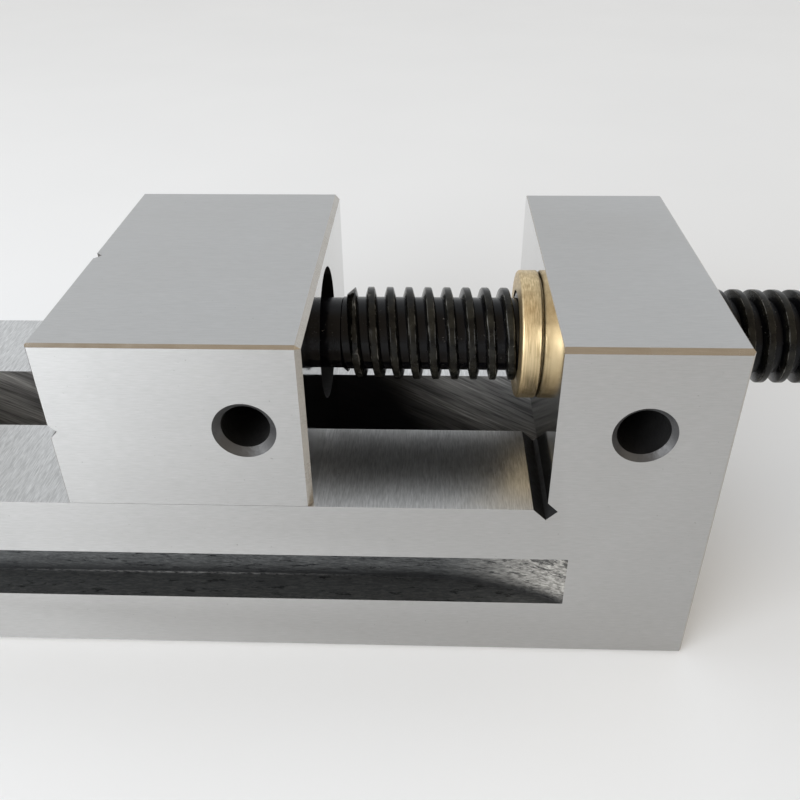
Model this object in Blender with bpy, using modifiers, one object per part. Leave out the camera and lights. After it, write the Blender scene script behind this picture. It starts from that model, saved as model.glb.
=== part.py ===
"""Precision screw vise for grinding and milling work, in metres, +Z up.

The vise stands on z = 0 and is centred on y = 0. x = 0 is the clamping face of the fixed jaw, so the
movable jaw's clamping face lies at x = OPENING. The lead screw runs along +X above the bed.
"""
import math

import bmesh
import bpy
from mathutils import Matrix, Vector

# Body: fixed jaw, bed and end block in one piece
BODY_WIDTH = 0.073
BED_HEIGHT = 0.039
JAW_HEIGHT = 0.035
FIXED_JAW_LENGTH = 0.0315
END_BLOCK_LENGTH = 0.0315
MAX_OPENING = 0.100
LONG_EDGE_CHAMFER = 0.0009
SHORT_EDGE_CHAMFER = 0.0005
FACE_EDGE_CHAMFER = 0.0002

# Relief cut at 45 degrees in the corner between bed and upright face
RELIEF_WIDTH = 0.0030
RELIEF_DEPTH = 0.0020
RELIEF_SHIFT = 0.00045

# Clamping groove along each side of the bed, cut by a disc on a vertical axis
GROOVE_FLOOR = 0.0140
GROOVE_HEIGHT = 0.0123
GROOVE_DEPTH = 0.0068
GROOVE_CUTTER_RADIUS = 0.075
GROOVE_OVERRUN = 0.0052

# Slot between the rails, and the wider pocket under them for the keeper plate
SLOT_WIDTH = 0.022
SLOT_OVERRUN = 0.005
SLOT_CEILING_DROP = 0.0003
LEDGE_WIDTH = 0.009
LEDGE_HEIGHT = 0.022
POCKET_START = 0.007
POCKET_CORNER = 0.006

# Movable jaw
OPENING = 0.0557
MOVABLE_JAW_LENGTH = 0.047
JAW_REAR_CHAMFER = 0.0010
JAW_SIDE_CHAMFER = 0.0007
VEE_DEPTH = 0.0015
VEE_HEIGHT = 0.0168

# Side bores at the height of the lead screw, threaded M10 on the real object
SIDE_BORE_RADIUS = 0.0045
SIDE_BORE_MOUTH_RADIUS = 0.00585
NOSE_BORE_TO_REAR_FACE = 0.0113

# Lead screw, Tr20 x 4
THREAD_RADIUS = 0.0098
THREAD_DEPTH = 0.0021
THREAD_PITCH = 0.004
CREST_WIDTH = 0.00136
FLANK_ANGLE = math.radians(15.0)
THREAD_PHASE = 0.00029
THREAD_START_GAP = 0.0030
THREAD_RUN_IN = 0.0025
NECK_RELIEF = 0.00005
NOSE_GROOVE_RADIUS = 0.0052
NOSE_GROOVE_WIDTH = 0.0072
NOSE_COLLAR_LENGTH = 0.0036
HEAD_NECK_LENGTH = 0.0030
HEAD_SPIGOT_RADIUS = 0.0070
HEAD_SPIGOT_LENGTH = 0.0110

# Thrust disc under the screw's nose
THRUST_DISC_THICKNESS = 0.0030

# Flanged lead nut
NUT_WALL = 0.0018
NUT_RECESS = 0.0010
FLANGE_OVERHANG = 0.0015
FLANGE_THICKNESS = 0.0040
FLANGE_CHAMFER = 0.0004
COUNTERBORE_SPARE_DEPTH = 0.0010

# Set screws: two with dog points in the jaw, two plain ones against the nut
SET_SCREW_LENGTH = 0.0120
SET_SCREW_CHAMFER = 0.0008
SET_SCREW_KEY = 0.0050
SET_SCREW_KEY_DEPTH = 0.0045
DOG_SHOULDER_GAP = 0.0009

# Screw head and tommy bar
HEAD_RADIUS = 0.0130
HEAD_LENGTH = 0.0300
HEAD_CHAMFER = 0.0015
HEAD_PIN_RADIUS = 0.0020
HEAD_TO_END_BLOCK = 0.0020
BAR_RADIUS = 0.0040
BAR_TO_HEAD_END = 0.0100
BAR_SPAN = 0.1100
BAR_SPIGOT_RADIUS = 0.0027
BAR_SPIGOT_LENGTH = 0.0080
KNOB_RADIUS = 0.0070
KNOB_LENGTH = 0.0120
KNOB_ROUND = 0.0020

# Keeper plate with its screws and dowels
KEEPER_THICKNESS = 0.0100
KEEPER_END_GAP = 0.0005
KEEPER_INSET_REAR = 0.0030
KEEPER_CHAMFER = 0.0005
CAP_SCREW_RADIUS = 0.00245
CAP_HEAD_RADIUS = 0.00425
CAP_HEAD_HEIGHT = 0.0050
CAP_SHANK_LENGTH = 0.0160
CAP_KEY = 0.0040
CAP_KEY_DEPTH = 0.0025
CAP_RECESS = 0.0004
CAP_END_INSET = 0.0060
CAP_SIDE_OFFSET = 0.0055
DOWEL_RADIUS = 0.0025
DOWEL_LENGTH = 0.0170
DOWEL_RECESS = 0.0008

# Fits
SLIDE_GAP = 0.00025
FIT_GAP = 0.00030
THREAD_GAP = 0.00040
FLANK_GAP = 0.00025
MARGIN = 0.0010
WELD = 0.000002

# Facets
SHARP_ANGLE = math.radians(30.0)
FLAT_ANGLE = math.radians(0.1)
BORE_STEPS = 32
SMALL_STEPS = 20
THREAD_STEPS = 16
ARC_STEPS = 8
CORNER_STEPS = 4

# Places that follow from the sizes above
HALF_WIDTH = BODY_WIDTH / 2
TOP = BED_HEIGHT + JAW_HEIGHT
AXIS_HEIGHT = BED_HEIGHT + JAW_HEIGHT / 2
BLOCK_FACE = MAX_OPENING + MOVABLE_JAW_LENGTH
BLOCK_END = BLOCK_FACE + END_BLOCK_LENGTH
JAW_REAR = OPENING + MOVABLE_JAW_LENGTH
ROOT_RADIUS = THREAD_RADIUS - THREAD_DEPTH
NECK_RADIUS = ROOT_RADIUS * math.cos(math.pi / THREAD_STEPS) - NECK_RELIEF
NOSE_BORE_RADIUS = NECK_RADIUS + FIT_GAP
DOG_RADIUS = NOSE_GROOVE_WIDTH / 2 - FIT_GAP
DOG_TIP = NOSE_GROOVE_RADIUS + FIT_GAP
DOG_LENGTH = NOSE_BORE_RADIUS + DOG_SHOULDER_GAP - DOG_TIP
NUT_MINOR_RADIUS = ROOT_RADIUS + THREAD_GAP
NUT_MAJOR_RADIUS = THREAD_RADIUS + THREAD_GAP
NUT_RADIUS = NUT_MAJOR_RADIUS + NUT_WALL
NUT_BORE_RADIUS = NUT_RADIUS + SLIDE_GAP
FLANGE_RADIUS = NUT_RADIUS + FLANGE_OVERHANG
COUNTERBORE_RADIUS = FLANGE_RADIUS + FIT_GAP + SLIDE_GAP
COUNTERBORE_DEPTH = FLANGE_THICKNESS + COUNTERBORE_SPARE_DEPTH
GROOVE_CENTRE = JAW_REAR - NOSE_BORE_TO_REAR_FACE
NOSE_END = GROOVE_CENTRE - NOSE_GROOVE_WIDTH / 2 - NOSE_COLLAR_LENGTH
DISC_REAR = NOSE_END - SLIDE_GAP
DISC_FRONT = DISC_REAR - THRUST_DISC_THICKNESS
THREAD_START = JAW_REAR + THREAD_START_GAP
HEAD_START = BLOCK_END + OPENING + HEAD_TO_END_BLOCK
THREAD_END = HEAD_START - HEAD_NECK_LENGTH
HEAD_END = HEAD_START + HEAD_LENGTH
BAR_X = HEAD_END - BAR_TO_HEAD_END
SET_SCREW_RADIUS = SIDE_BORE_RADIUS - FIT_GAP
KEEPER_TOP = LEDGE_HEIGHT - SLIDE_GAP
KEEPER_BOTTOM = KEEPER_TOP - KEEPER_THICKNESS
KEEPER_FRONT = OPENING + POCKET_START + KEEPER_END_GAP
KEEPER_REAR = JAW_REAR - KEEPER_INSET_REAR
KEEPER_CORNER = POCKET_CORNER + FIT_GAP
POCKET_HALF_WIDTH = SLOT_WIDTH / 2 + LEDGE_WIDTH


# ---------------------------------------------------------------- scene helpers


def clear_scene():
    for item in list(bpy.data.objects):
        bpy.data.objects.remove(item, do_unlink=True)


def new_collection(name):
    made = bpy.data.collections.new(name)
    bpy.context.scene.collection.children.link(made)
    return made


def material(name, colour, roughness, metallic):
    made = bpy.data.materials.new(name)
    made.use_nodes = True
    shader = made.node_tree.nodes["Principled BSDF"]
    shader.inputs["Base Color"].default_value = (*colour, 1.0)
    shader.inputs["Roughness"].default_value = roughness
    shader.inputs["Metallic"].default_value = metallic
    return made


def add_object(name, data):
    made = bpy.data.objects.new(name, data)
    PIECES.objects.link(made)
    return made


def joint_empty(name, place):
    empty = add_object(name, None)
    empty.location = place
    return empty


def hang_on(empty, piece):
    """Parents a piece to a joint's empty and leaves it where it is."""
    piece.parent = empty
    piece.matrix_parent_inverse = Matrix.Translation(empty.location).inverted()


def settle(piece):
    """Replaces a piece's modifiers by the mesh that they make, faces pointing out."""
    graph = bpy.context.evaluated_depsgraph_get()
    mesh = bpy.data.meshes.new_from_object(piece.evaluated_get(graph))
    cutters = [m.object for m in piece.modifiers if m.type == "BOOLEAN"]
    piece.modifiers.clear()
    piece.data = mesh
    for cutter in cutters:
        bpy.data.objects.remove(cutter, do_unlink=True)
    clean(mesh)
    return piece


def clean(mesh):
    """Welds doubled points and turns the faces outward."""
    shape = bmesh.new()
    shape.from_mesh(mesh)
    bmesh.ops.remove_doubles(shape, verts=shape.verts, dist=WELD)
    bmesh.ops.dissolve_degenerate(shape, edges=shape.edges, dist=WELD)
    bmesh.ops.recalc_face_normals(shape, faces=shape.faces)
    shape.to_mesh(mesh)
    shape.free()


def merge_flat_faces(mesh):
    """Makes one face of each group of triangles in one plane, so that a bevel runs straight."""
    shape = bmesh.new()
    shape.from_mesh(mesh)
    bmesh.ops.dissolve_limit(shape, angle_limit=FLAT_ANGLE, verts=shape.verts, edges=shape.edges)
    shape.to_mesh(mesh)
    shape.free()


def finish(piece, finish_material, smooth=False):
    if piece.modifiers:
        settle(piece)
    piece.data.materials.clear()
    piece.data.materials.append(finish_material)
    if smooth:
        piece.data.shade_smooth()
        piece.data.set_sharp_from_angle(angle=SHARP_ANGLE)
    return piece


# ---------------------------------------------------------------- shape helpers


def prism(name, outline, axis, low, high):
    """Solid between low and high along an axis, from an outline in the plane of the other two.

    The outline is (x, y) for axis Z, (x, z) for axis Y and (y, z) for axis X.
    """
    curve = bpy.data.curves.new(name, "CURVE")
    curve.dimensions = "2D"
    curve.fill_mode = "BOTH"
    curve.extrude = (high - low) / 2
    spline = curve.splines.new("POLY")
    spline.points.add(len(outline) - 1)
    for point, (across, up) in zip(spline.points, outline):
        point.co = (across, up, 0.0, 1.0)
    spline.use_cyclic_u = True
    sheet = add_object(name + "_outline", curve)
    graph = bpy.context.evaluated_depsgraph_get()
    mesh = bpy.data.meshes.new_from_object(sheet.evaluated_get(graph))
    bpy.data.objects.remove(sheet, do_unlink=True)
    turn = {
        "Z": Matrix.Identity(4),
        "Y": Matrix(((1, 0, 0, 0), (0, 0, 1, 0), (0, 1, 0, 0), (0, 0, 0, 1))),
        "X": Matrix(((0, 0, 1, 0), (1, 0, 0, 0), (0, 1, 0, 0), (0, 0, 0, 1))),
    }[axis]
    middle = Vector([(low + high) / 2 if letter == axis else 0.0 for letter in "XYZ"])
    mesh.transform(Matrix.Translation(middle) @ turn)
    clean(mesh)
    merge_flat_faces(mesh)
    return add_object(name, mesh)


def rod(name, start, end, radius, end_radius=None, steps=BORE_STEPS):
    """Cylinder or cone frustum from one point to another."""
    start = Vector(start)
    end = Vector(end)
    mesh = bpy.data.meshes.new(name)
    shape = bmesh.new()
    bmesh.ops.create_cone(
        shape,
        cap_ends=True,
        segments=steps,
        radius1=radius,
        radius2=radius if end_radius is None else end_radius,
        depth=(end - start).length,
        matrix=Matrix.Translation((start + end) / 2)
        @ (end - start).to_track_quat("Z", "Y").to_matrix().to_4x4(),
    )
    shape.to_mesh(mesh)
    shape.free()
    return add_object(name, mesh)


def turned(name, outline, place, direction, steps=BORE_STEPS):
    """Turned solid: outline points are (radius, height), from the top down to the foot.

    Heights run along direction from place. Both ends of the outline lie on the axis.
    """
    mesh = bpy.data.meshes.new(name)
    points = [(radius, 0.0, height) for radius, height in outline]
    mesh.from_pydata(points, [(i, i + 1) for i in range(len(points) - 1)], [])
    made = add_object(name, mesh)
    screw = made.modifiers.new("turn", "SCREW")
    screw.steps = steps
    screw.render_steps = steps
    screw.use_merge_vertices = True
    screw.merge_threshold = WELD
    made.location = place
    made.rotation_mode = "QUATERNION"
    made.rotation_quaternion = Vector(direction).to_track_quat("Z", "Y")
    bake_place(settle(made))
    return made


def bake_place(piece):
    """Moves an object's place into its mesh."""
    turn = piece.rotation_quaternion.to_matrix().to_4x4()
    piece.data.transform(Matrix.Translation(piece.location) @ turn)
    piece.location = (0.0, 0.0, 0.0)
    piece.rotation_quaternion = (1.0, 0.0, 0.0, 0.0)


def boolean(piece, tool, operation):
    step = piece.modifiers.new(tool.name, "BOOLEAN")
    step.operation = operation
    step.object = tool
    if tool.name in PIECES.objects:
        PIECES.objects.unlink(tool)
        CUTTERS.objects.link(tool)
    tool.hide_render = True
    tool.display_type = "WIRE"


def cut(piece, *tools):
    for tool in tools:
        boolean(piece, tool, "DIFFERENCE")


def chamfer(piece, width_of):
    """Chamfers edges: width_of(middle, direction) gives an edge's width, or 0."""
    mesh = piece.data
    widths = []
    for edge in mesh.edges:
        start = mesh.vertices[edge.vertices[0]].co
        end = mesh.vertices[edge.vertices[1]].co
        widths.append(width_of((start + end) / 2, (end - start).normalized()))
    widest = max(widths)
    weights = mesh.attributes.new("bevel_weight_edge", "FLOAT", "EDGE")
    for slot, width in zip(weights.data, widths):
        slot.value = width / widest
    bevel = piece.modifiers.new("chamfer", "BEVEL")
    bevel.limit_method = "WEIGHT"
    bevel.width = widest
    bevel.segments = 1
    return settle(piece)


def near(value, target):
    return abs(value - target) < WELD


def arc(centre, radius, start_angle, end_angle, steps):
    """Points on an arc, angles in degrees from the first axis of the outline."""
    points = []
    for i in range(steps + 1):
        angle = math.radians(start_angle + (end_angle - start_angle) * i / steps)
        points.append((centre[0] + radius * math.cos(angle), centre[1] + radius * math.sin(angle)))
    return points


def rounded_rectangle(low_x, high_x, half_width, radius):
    """Outline centred on y = 0 with rounded corners."""
    left = low_x + radius
    right = high_x - radius
    side = half_width - radius
    outline = arc((left, -side), radius, 180.0, 270.0, CORNER_STEPS)
    outline += arc((right, -side), radius, 270.0, 360.0, CORNER_STEPS)
    outline += arc((right, side), radius, 0.0, 90.0, CORNER_STEPS)
    outline += arc((left, side), radius, 90.0, 180.0, CORNER_STEPS)
    return outline


def axis_point(x):
    return Vector((x, 0.0, AXIS_HEIGHT))


def cross_bore(name, x):
    """Cutter for a bore across the vise at the screw's height, with a chamfered mouth each side."""
    step = SIDE_BORE_MOUTH_RADIUS - SIDE_BORE_RADIUS
    outline = [
        (0.0, HALF_WIDTH + MARGIN),
        (SIDE_BORE_MOUTH_RADIUS + MARGIN, HALF_WIDTH + MARGIN),
        (SIDE_BORE_RADIUS, HALF_WIDTH - step),
        (SIDE_BORE_RADIUS, step - HALF_WIDTH),
        (SIDE_BORE_MOUTH_RADIUS + MARGIN, -HALF_WIDTH - MARGIN),
        (0.0, -HALF_WIDTH - MARGIN),
    ]
    return turned(name, outline, axis_point(x), (0.0, 1.0, 0.0))


# ---------------------------------------------------------------- vise body


def body_blank():
    """Bed with the fixed jaw at its left end and the end block at its right end."""
    outline = [
        (-FIXED_JAW_LENGTH, 0.0),
        (BLOCK_END, 0.0),
        (BLOCK_END, TOP),
        (BLOCK_FACE, TOP),
        (BLOCK_FACE, BED_HEIGHT),
        (0.0, BED_HEIGHT),
        (0.0, TOP),
        (-FIXED_JAW_LENGTH, TOP),
    ]
    blank = prism("vise_body", outline, "Y", -HALF_WIDTH, HALF_WIDTH)

    def width_of(middle, direction):
        on_face = near(middle.x, 0.0) or near(middle.x, BLOCK_FACE)
        on_side = near(abs(middle.y), HALF_WIDTH)
        if near(middle.z, BED_HEIGHT) or on_face:
            return 0.0
        if abs(direction.x) > 0.5 and on_side and near(middle.z, TOP):
            return LONG_EDGE_CHAMFER
        return SHORT_EDGE_CHAMFER

    return chamfer(blank, width_of)


def face_edge_cutter(name, face_x, inward):
    """Chamfer along the top edge of an upright face; inward is -1 or +1 along X, into the block."""
    width = FACE_EDGE_CHAMFER
    outline = [
        (face_x + inward * (width + MARGIN), TOP + MARGIN),
        (face_x - inward * MARGIN, TOP - width - MARGIN),
        (face_x - inward * MARGIN, TOP + MARGIN),
    ]
    return prism(name, outline, "Y", -HALF_WIDTH - MARGIN, HALF_WIDTH + MARGIN)


def relief_cutter(name, corner_x, outward):
    """Square-ended slot at 45 degrees into the corner at corner_x; outward is -1 or +1 along X."""
    into = Vector((outward, -1.0)).normalized()
    across = Vector((-into.y, into.x)) * RELIEF_WIDTH / 2
    mouth = Vector((corner_x - outward * RELIEF_SHIFT, BED_HEIGHT))
    floor = mouth + into * RELIEF_DEPTH
    back = mouth - into * RELIEF_WIDTH
    outline = [floor - across, floor + across, back + across, back - across]
    return prism(name, [tuple(p) for p in outline], "Y", -HALF_WIDTH - MARGIN, HALF_WIDTH + MARGIN)


def groove_cutter(name, side):
    """Side groove whose depth runs out on the cutter's arc at both ends."""
    reach = math.sqrt(GROOVE_CUTTER_RADIUS**2 - (GROOVE_CUTTER_RADIUS - GROOVE_DEPTH) ** 2)
    sweep = math.degrees(math.asin(reach / GROOVE_CUTTER_RADIUS))
    left = -GROOVE_OVERRUN + reach
    right = BLOCK_FACE + GROOVE_OVERRUN - reach
    centre_y = HALF_WIDTH - GROOVE_DEPTH + GROOVE_CUTTER_RADIUS
    outline = arc((left, centre_y), GROOVE_CUTTER_RADIUS, 270.0 - sweep, 270.0, ARC_STEPS)
    outline += arc((right, centre_y), GROOVE_CUTTER_RADIUS, 270.0, 270.0 + sweep, ARC_STEPS)
    outline += [(right + reach, HALF_WIDTH + MARGIN), (left - reach, HALF_WIDTH + MARGIN)]
    outline = [(x, side * y) for x, y in outline]
    return prism(name, outline, "Z", GROOVE_FLOOR, GROOVE_FLOOR + GROOVE_HEIGHT)


def slot_cutter():
    """Slot between the rails; it runs on a little under the fixed jaw and the end block."""
    ceiling = BED_HEIGHT - SLOT_CEILING_DROP
    outline = [
        (-SLOT_OVERRUN, LEDGE_HEIGHT - MARGIN),
        (BLOCK_FACE + SLOT_OVERRUN, LEDGE_HEIGHT - MARGIN),
        (BLOCK_FACE + SLOT_OVERRUN, ceiling),
        (BLOCK_FACE - MARGIN, ceiling),
        (BLOCK_FACE - MARGIN, TOP),
        (MARGIN, TOP),
        (MARGIN, ceiling),
        (-SLOT_OVERRUN, ceiling),
    ]
    return prism("rail_slot", outline, "Y", -SLOT_WIDTH / 2, SLOT_WIDTH / 2)


def pocket_cutter():
    """Pocket with round corners, open at the bottom, in which the keeper plate travels."""
    outline = rounded_rectangle(POCKET_START, BLOCK_FACE, POCKET_HALF_WIDTH, POCKET_CORNER)
    return prism("keeper_pocket", outline, "Z", -MARGIN, LEDGE_HEIGHT)


def make_body():
    body = body_blank()
    cut(
        body,
        face_edge_cutter("fixed_jaw_face_edge", 0.0, -1.0),
        face_edge_cutter("end_block_face_edge", BLOCK_FACE, 1.0),
        relief_cutter("relief_at_fixed_jaw", 0.0, -1.0),
        relief_cutter("relief_at_end_block", BLOCK_FACE, 1.0),
        slot_cutter(),
        pocket_cutter(),
        groove_cutter("near_groove", -1.0),
        groove_cutter("far_groove", 1.0),
        rod("nut_bore", axis_point(BLOCK_FACE - MARGIN), axis_point(BLOCK_END + MARGIN), NUT_BORE_RADIUS),
        cross_bore("end_block_bore", BLOCK_FACE + END_BLOCK_LENGTH / 2),
    )
    return finish(body, GROUND_STEEL, smooth=True)


# ---------------------------------------------------------------- movable jaw


def jaw_blank():
    """Jaw block on the rails with its tongue in the slot between them."""
    seat = BED_HEIGHT + SLIDE_GAP
    tongue = SLOT_WIDTH / 2 - SLIDE_GAP
    outline = [
        (-tongue, LEDGE_HEIGHT),
        (tongue, LEDGE_HEIGHT),
        (tongue, seat),
        (HALF_WIDTH, seat),
        (HALF_WIDTH, TOP),
        (-HALF_WIDTH, TOP),
        (-HALF_WIDTH, seat),
        (-tongue, seat),
    ]
    blank = prism("movable_jaw", outline, "X", OPENING, JAW_REAR)

    def width_of(middle, direction):
        if middle.z < seat + WELD:
            return 0.0
        if near(middle.x, JAW_REAR):
            return JAW_REAR_CHAMFER
        if near(middle.x, OPENING):
            return FACE_EDGE_CHAMFER
        return JAW_SIDE_CHAMFER if near(middle.z, TOP) else 0.0

    return chamfer(blank, width_of)


def vee_cutters():
    """Two vees for round work, one across the clamping face and one up its middle."""
    tip = OPENING + VEE_DEPTH
    back = OPENING - MARGIN
    half = VEE_DEPTH + MARGIN
    middle = BED_HEIGHT + VEE_HEIGHT
    across = [(back, middle - half), (tip, middle), (back, middle + half)]
    upright = [(back, -half), (tip, 0.0), (back, half)]
    reach = HALF_WIDTH + MARGIN
    return (
        prism("level_vee", across, "Y", -reach, reach),
        prism("upright_vee", upright, "Z", LEDGE_HEIGHT - MARGIN, TOP + MARGIN),
    )


def jaw_bores():
    """Stepped bore from the rear face: the nut's flange enters it, the screw's nose seats in it."""
    floor = DISC_FRONT - SLIDE_GAP
    counterbore = rod(
        "flange_counterbore",
        axis_point(JAW_REAR - COUNTERBORE_DEPTH),
        axis_point(JAW_REAR + MARGIN),
        COUNTERBORE_RADIUS,
    )
    nose_bore = rod("nose_bore", axis_point(floor), axis_point(JAW_REAR), NOSE_BORE_RADIUS)
    return counterbore, nose_bore, cross_bore("jaw_cross_bore", GROOVE_CENTRE)


def keeper_fixings():
    """Places (x, y) of the cap screws and of the dowels in the keeper plate."""
    middle = (KEEPER_FRONT + KEEPER_REAR) / 2
    ends = (KEEPER_FRONT + CAP_END_INSET, KEEPER_REAR - CAP_END_INSET)
    sides = (-CAP_SIDE_OFFSET, CAP_SIDE_OFFSET)
    return [(x, y) for x in ends for y in sides], [(middle, y) for y in sides]


def upright_hole(name, place, low, high, radius):
    x, y = place
    return rod(name, (x, y, low), (x, y, high), radius, steps=SMALL_STEPS)


def cap_seat():
    """Height of the shoulder under the cap screws' heads."""
    return KEEPER_BOTTOM + CAP_RECESS + CAP_HEAD_HEIGHT


def make_movable_jaw():
    jaw = jaw_blank()
    cut(jaw, *vee_cutters(), *jaw_bores())
    screws, dowels = keeper_fixings()
    low = LEDGE_HEIGHT - MARGIN
    shank_top = cap_seat() + CAP_SHANK_LENGTH + MARGIN
    dowel_top = KEEPER_BOTTOM + DOWEL_RECESS + DOWEL_LENGTH + MARGIN
    for number, place in enumerate(screws, 1):
        radius = CAP_SCREW_RADIUS + FIT_GAP
        cut(jaw, upright_hole(f"tongue_hole_{number}", place, low, shank_top, radius))
    for number, place in enumerate(dowels, 1):
        radius = DOWEL_RADIUS + FIT_GAP
        cut(jaw, upright_hole(f"tongue_dowel_hole_{number}", place, low, dowel_top, radius))
    return finish(jaw, GROUND_STEEL, smooth=True)


def make_keeper_plate():
    """Plate under the ledges beside the slot; it stops the jaw from lifting."""
    outline = rounded_rectangle(KEEPER_FRONT, KEEPER_REAR, POCKET_HALF_WIDTH - FIT_GAP, KEEPER_CORNER)
    plate = prism("keeper_plate", outline, "Z", KEEPER_BOTTOM, KEEPER_TOP)
    chamfer(plate, lambda middle, direction: 0.0 if abs(direction.z) > 0.5 else KEEPER_CHAMFER)
    screws, dowels = keeper_fixings()
    low = KEEPER_BOTTOM - MARGIN
    high = KEEPER_TOP + MARGIN
    for number, place in enumerate(screws, 1):
        shank_radius = CAP_SCREW_RADIUS + FIT_GAP
        head_radius = CAP_HEAD_RADIUS + FIT_GAP
        seat = cap_seat() + SLIDE_GAP
        cut(plate, upright_hole(f"keeper_hole_{number}", place, low, high, shank_radius))
        cut(plate, upright_hole(f"keeper_head_hole_{number}", place, low, seat, head_radius))
    for number, place in enumerate(dowels, 1):
        radius = DOWEL_RADIUS + FIT_GAP
        cut(plate, upright_hole(f"keeper_dowel_hole_{number}", place, low, high, radius))
    return finish(plate, BLACK_STEEL)


def make_cap_screw():
    """Socket head cap screw, head down, with its seat at the origin."""
    edge = CAP_SCREW_RADIUS / 5
    outline = [
        (0.0, CAP_SHANK_LENGTH),
        (CAP_SCREW_RADIUS - edge, CAP_SHANK_LENGTH),
        (CAP_SCREW_RADIUS, CAP_SHANK_LENGTH - edge),
        (CAP_SCREW_RADIUS, 0.0),
        (CAP_HEAD_RADIUS, 0.0),
        (CAP_HEAD_RADIUS, edge - CAP_HEAD_HEIGHT),
        (CAP_HEAD_RADIUS - edge, -CAP_HEAD_HEIGHT),
        (0.0, -CAP_HEAD_HEIGHT),
    ]
    screw = turned("cap_screw", outline, (0.0, 0.0, 0.0), (0.0, 0.0, 1.0), SMALL_STEPS)
    low = -CAP_HEAD_HEIGHT - MARGIN
    key = hex_cutter("cap_key", (0.0, 0.0, low), (0.0, 0.0, CAP_KEY_DEPTH - CAP_HEAD_HEIGHT), CAP_KEY)
    cut(screw, key)
    return finish(settle(screw), BLACK_STEEL, smooth=True)


def hex_cutter(name, start, end, across_flats):
    return rod(name, start, end, across_flats / math.sqrt(3.0), steps=6)


def make_dowel():
    """Dowel pin with its foot at the origin."""
    edge = DOWEL_RADIUS / 5
    outline = [
        (0.0, DOWEL_LENGTH),
        (DOWEL_RADIUS - edge, DOWEL_LENGTH),
        (DOWEL_RADIUS, DOWEL_LENGTH - edge),
        (DOWEL_RADIUS, edge),
        (DOWEL_RADIUS - edge, 0.0),
        (0.0, 0.0),
    ]
    dowel = turned("dowel", outline, (0.0, 0.0, 0.0), (0.0, 0.0, 1.0), SMALL_STEPS)
    return finish(dowel, BRIGHT_STEEL, smooth=True)


def place_copies(pattern, name, places):
    """Makes one object of the same mesh at each place and removes the pattern."""
    made = []
    for number, place in enumerate(places, 1):
        copy = add_object(f"{name}_{number}", pattern.data)
        copy.location = place
        made.append(copy)
    bpy.data.objects.remove(pattern, do_unlink=True)
    return made


def make_keeper_fixings():
    screws, dowels = keeper_fixings()
    seat = cap_seat()
    foot = KEEPER_BOTTOM + DOWEL_RECESS
    made = place_copies(make_cap_screw(), "keeper_screw", [(x, y, seat) for x, y in screws])
    made += place_copies(make_dowel(), "keeper_dowel", [(x, y, foot) for x, y in dowels])
    return made


# ---------------------------------------------------------------- set screws


def make_set_screw(name, x, side, tip, dog_radius, dog_length):
    """Set screw across the vise, its point towards the middle; side is -1 near and +1 far."""
    shoulder = tip + dog_length
    outer = shoulder + SET_SCREW_LENGTH
    edge = SET_SCREW_CHAMFER
    outline = [
        (0.0, outer),
        (SET_SCREW_RADIUS - edge, outer),
        (SET_SCREW_RADIUS, outer - edge),
        (SET_SCREW_RADIUS, shoulder + edge),
        (max(dog_radius, SET_SCREW_RADIUS - edge), shoulder),
    ]
    if dog_length:
        outline += [(dog_radius, shoulder), (dog_radius, tip)]
    outline += [(0.0, tip)]
    direction = Vector((0.0, side, 0.0))
    screw = turned(name, outline, axis_point(x), direction, SMALL_STEPS)
    floor = axis_point(x) + direction * (outer - SET_SCREW_KEY_DEPTH)
    mouth = axis_point(x) + direction * (outer + MARGIN)
    cut(screw, hex_cutter(name + "_key", floor, mouth, SET_SCREW_KEY))
    return finish(settle(screw), BLACK_STEEL, smooth=True)


def make_nose_screws():
    for name, side in (("nose_screw_near", -1.0), ("nose_screw_far", 1.0)):
        yield make_set_screw(name, GROOVE_CENTRE, side, DOG_TIP, DOG_RADIUS, DOG_LENGTH)


def make_nut_screws():
    x = BLOCK_FACE + END_BLOCK_LENGTH / 2
    tip = NUT_RADIUS + FIT_GAP
    for name, side in (("nut_screw_near", -1.0), ("nut_screw_far", 1.0)):
        make_set_screw(name, x, side, tip, 0.0, 0.0)


# ---------------------------------------------------------------- lead screw and nut


def helical_solid(name, root_radius, crest_radius, crest_width, first, turns):
    """Right-handed threaded solid about the screw axis, with a crest crossing +Z at first."""
    half_crest = crest_width / 2
    half_base = half_crest + (crest_radius - root_radius) * math.tan(FLANK_ANGLE)
    section = [
        (-half_base, 0.0, root_radius),
        (-half_crest, 0.0, crest_radius),
        (half_crest, 0.0, crest_radius),
        (half_base, 0.0, root_radius),
        (THREAD_PITCH - half_base, 0.0, root_radius),
    ]
    mesh = bpy.data.meshes.new(name)
    mesh.from_pydata(section, [(0, 1), (1, 2), (2, 3), (3, 4)], [])
    thread = add_object(name, mesh)
    wind = thread.modifiers.new("wind", "SCREW")
    wind.axis = "X"
    wind.screw_offset = THREAD_PITCH
    wind.iterations = turns
    wind.steps = THREAD_STEPS
    wind.render_steps = THREAD_STEPS
    settle(thread)
    shape = bmesh.new()
    shape.from_mesh(thread.data)
    middle = THREAD_PITCH * turns / 2
    for tip_x in (-THREAD_PITCH, THREAD_PITCH * (turns + 1)):
        rim = [e for e in shape.edges if e.is_boundary and abs(e.verts[0].co.x - tip_x) < middle]
        sides = bmesh.ops.extrude_edge_only(shape, edges=rim)["geom"]
        tip = [v for v in sides if isinstance(v, bmesh.types.BMVert)]
        bmesh.ops.pointmerge(shape, verts=tip, merge_co=(tip_x, 0.0, 0.0))
    bmesh.ops.recalc_face_normals(shape, faces=shape.faces)
    shape.to_mesh(thread.data)
    shape.free()
    thread.data.transform(Matrix.Translation(axis_point(first)))
    return thread


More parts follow.
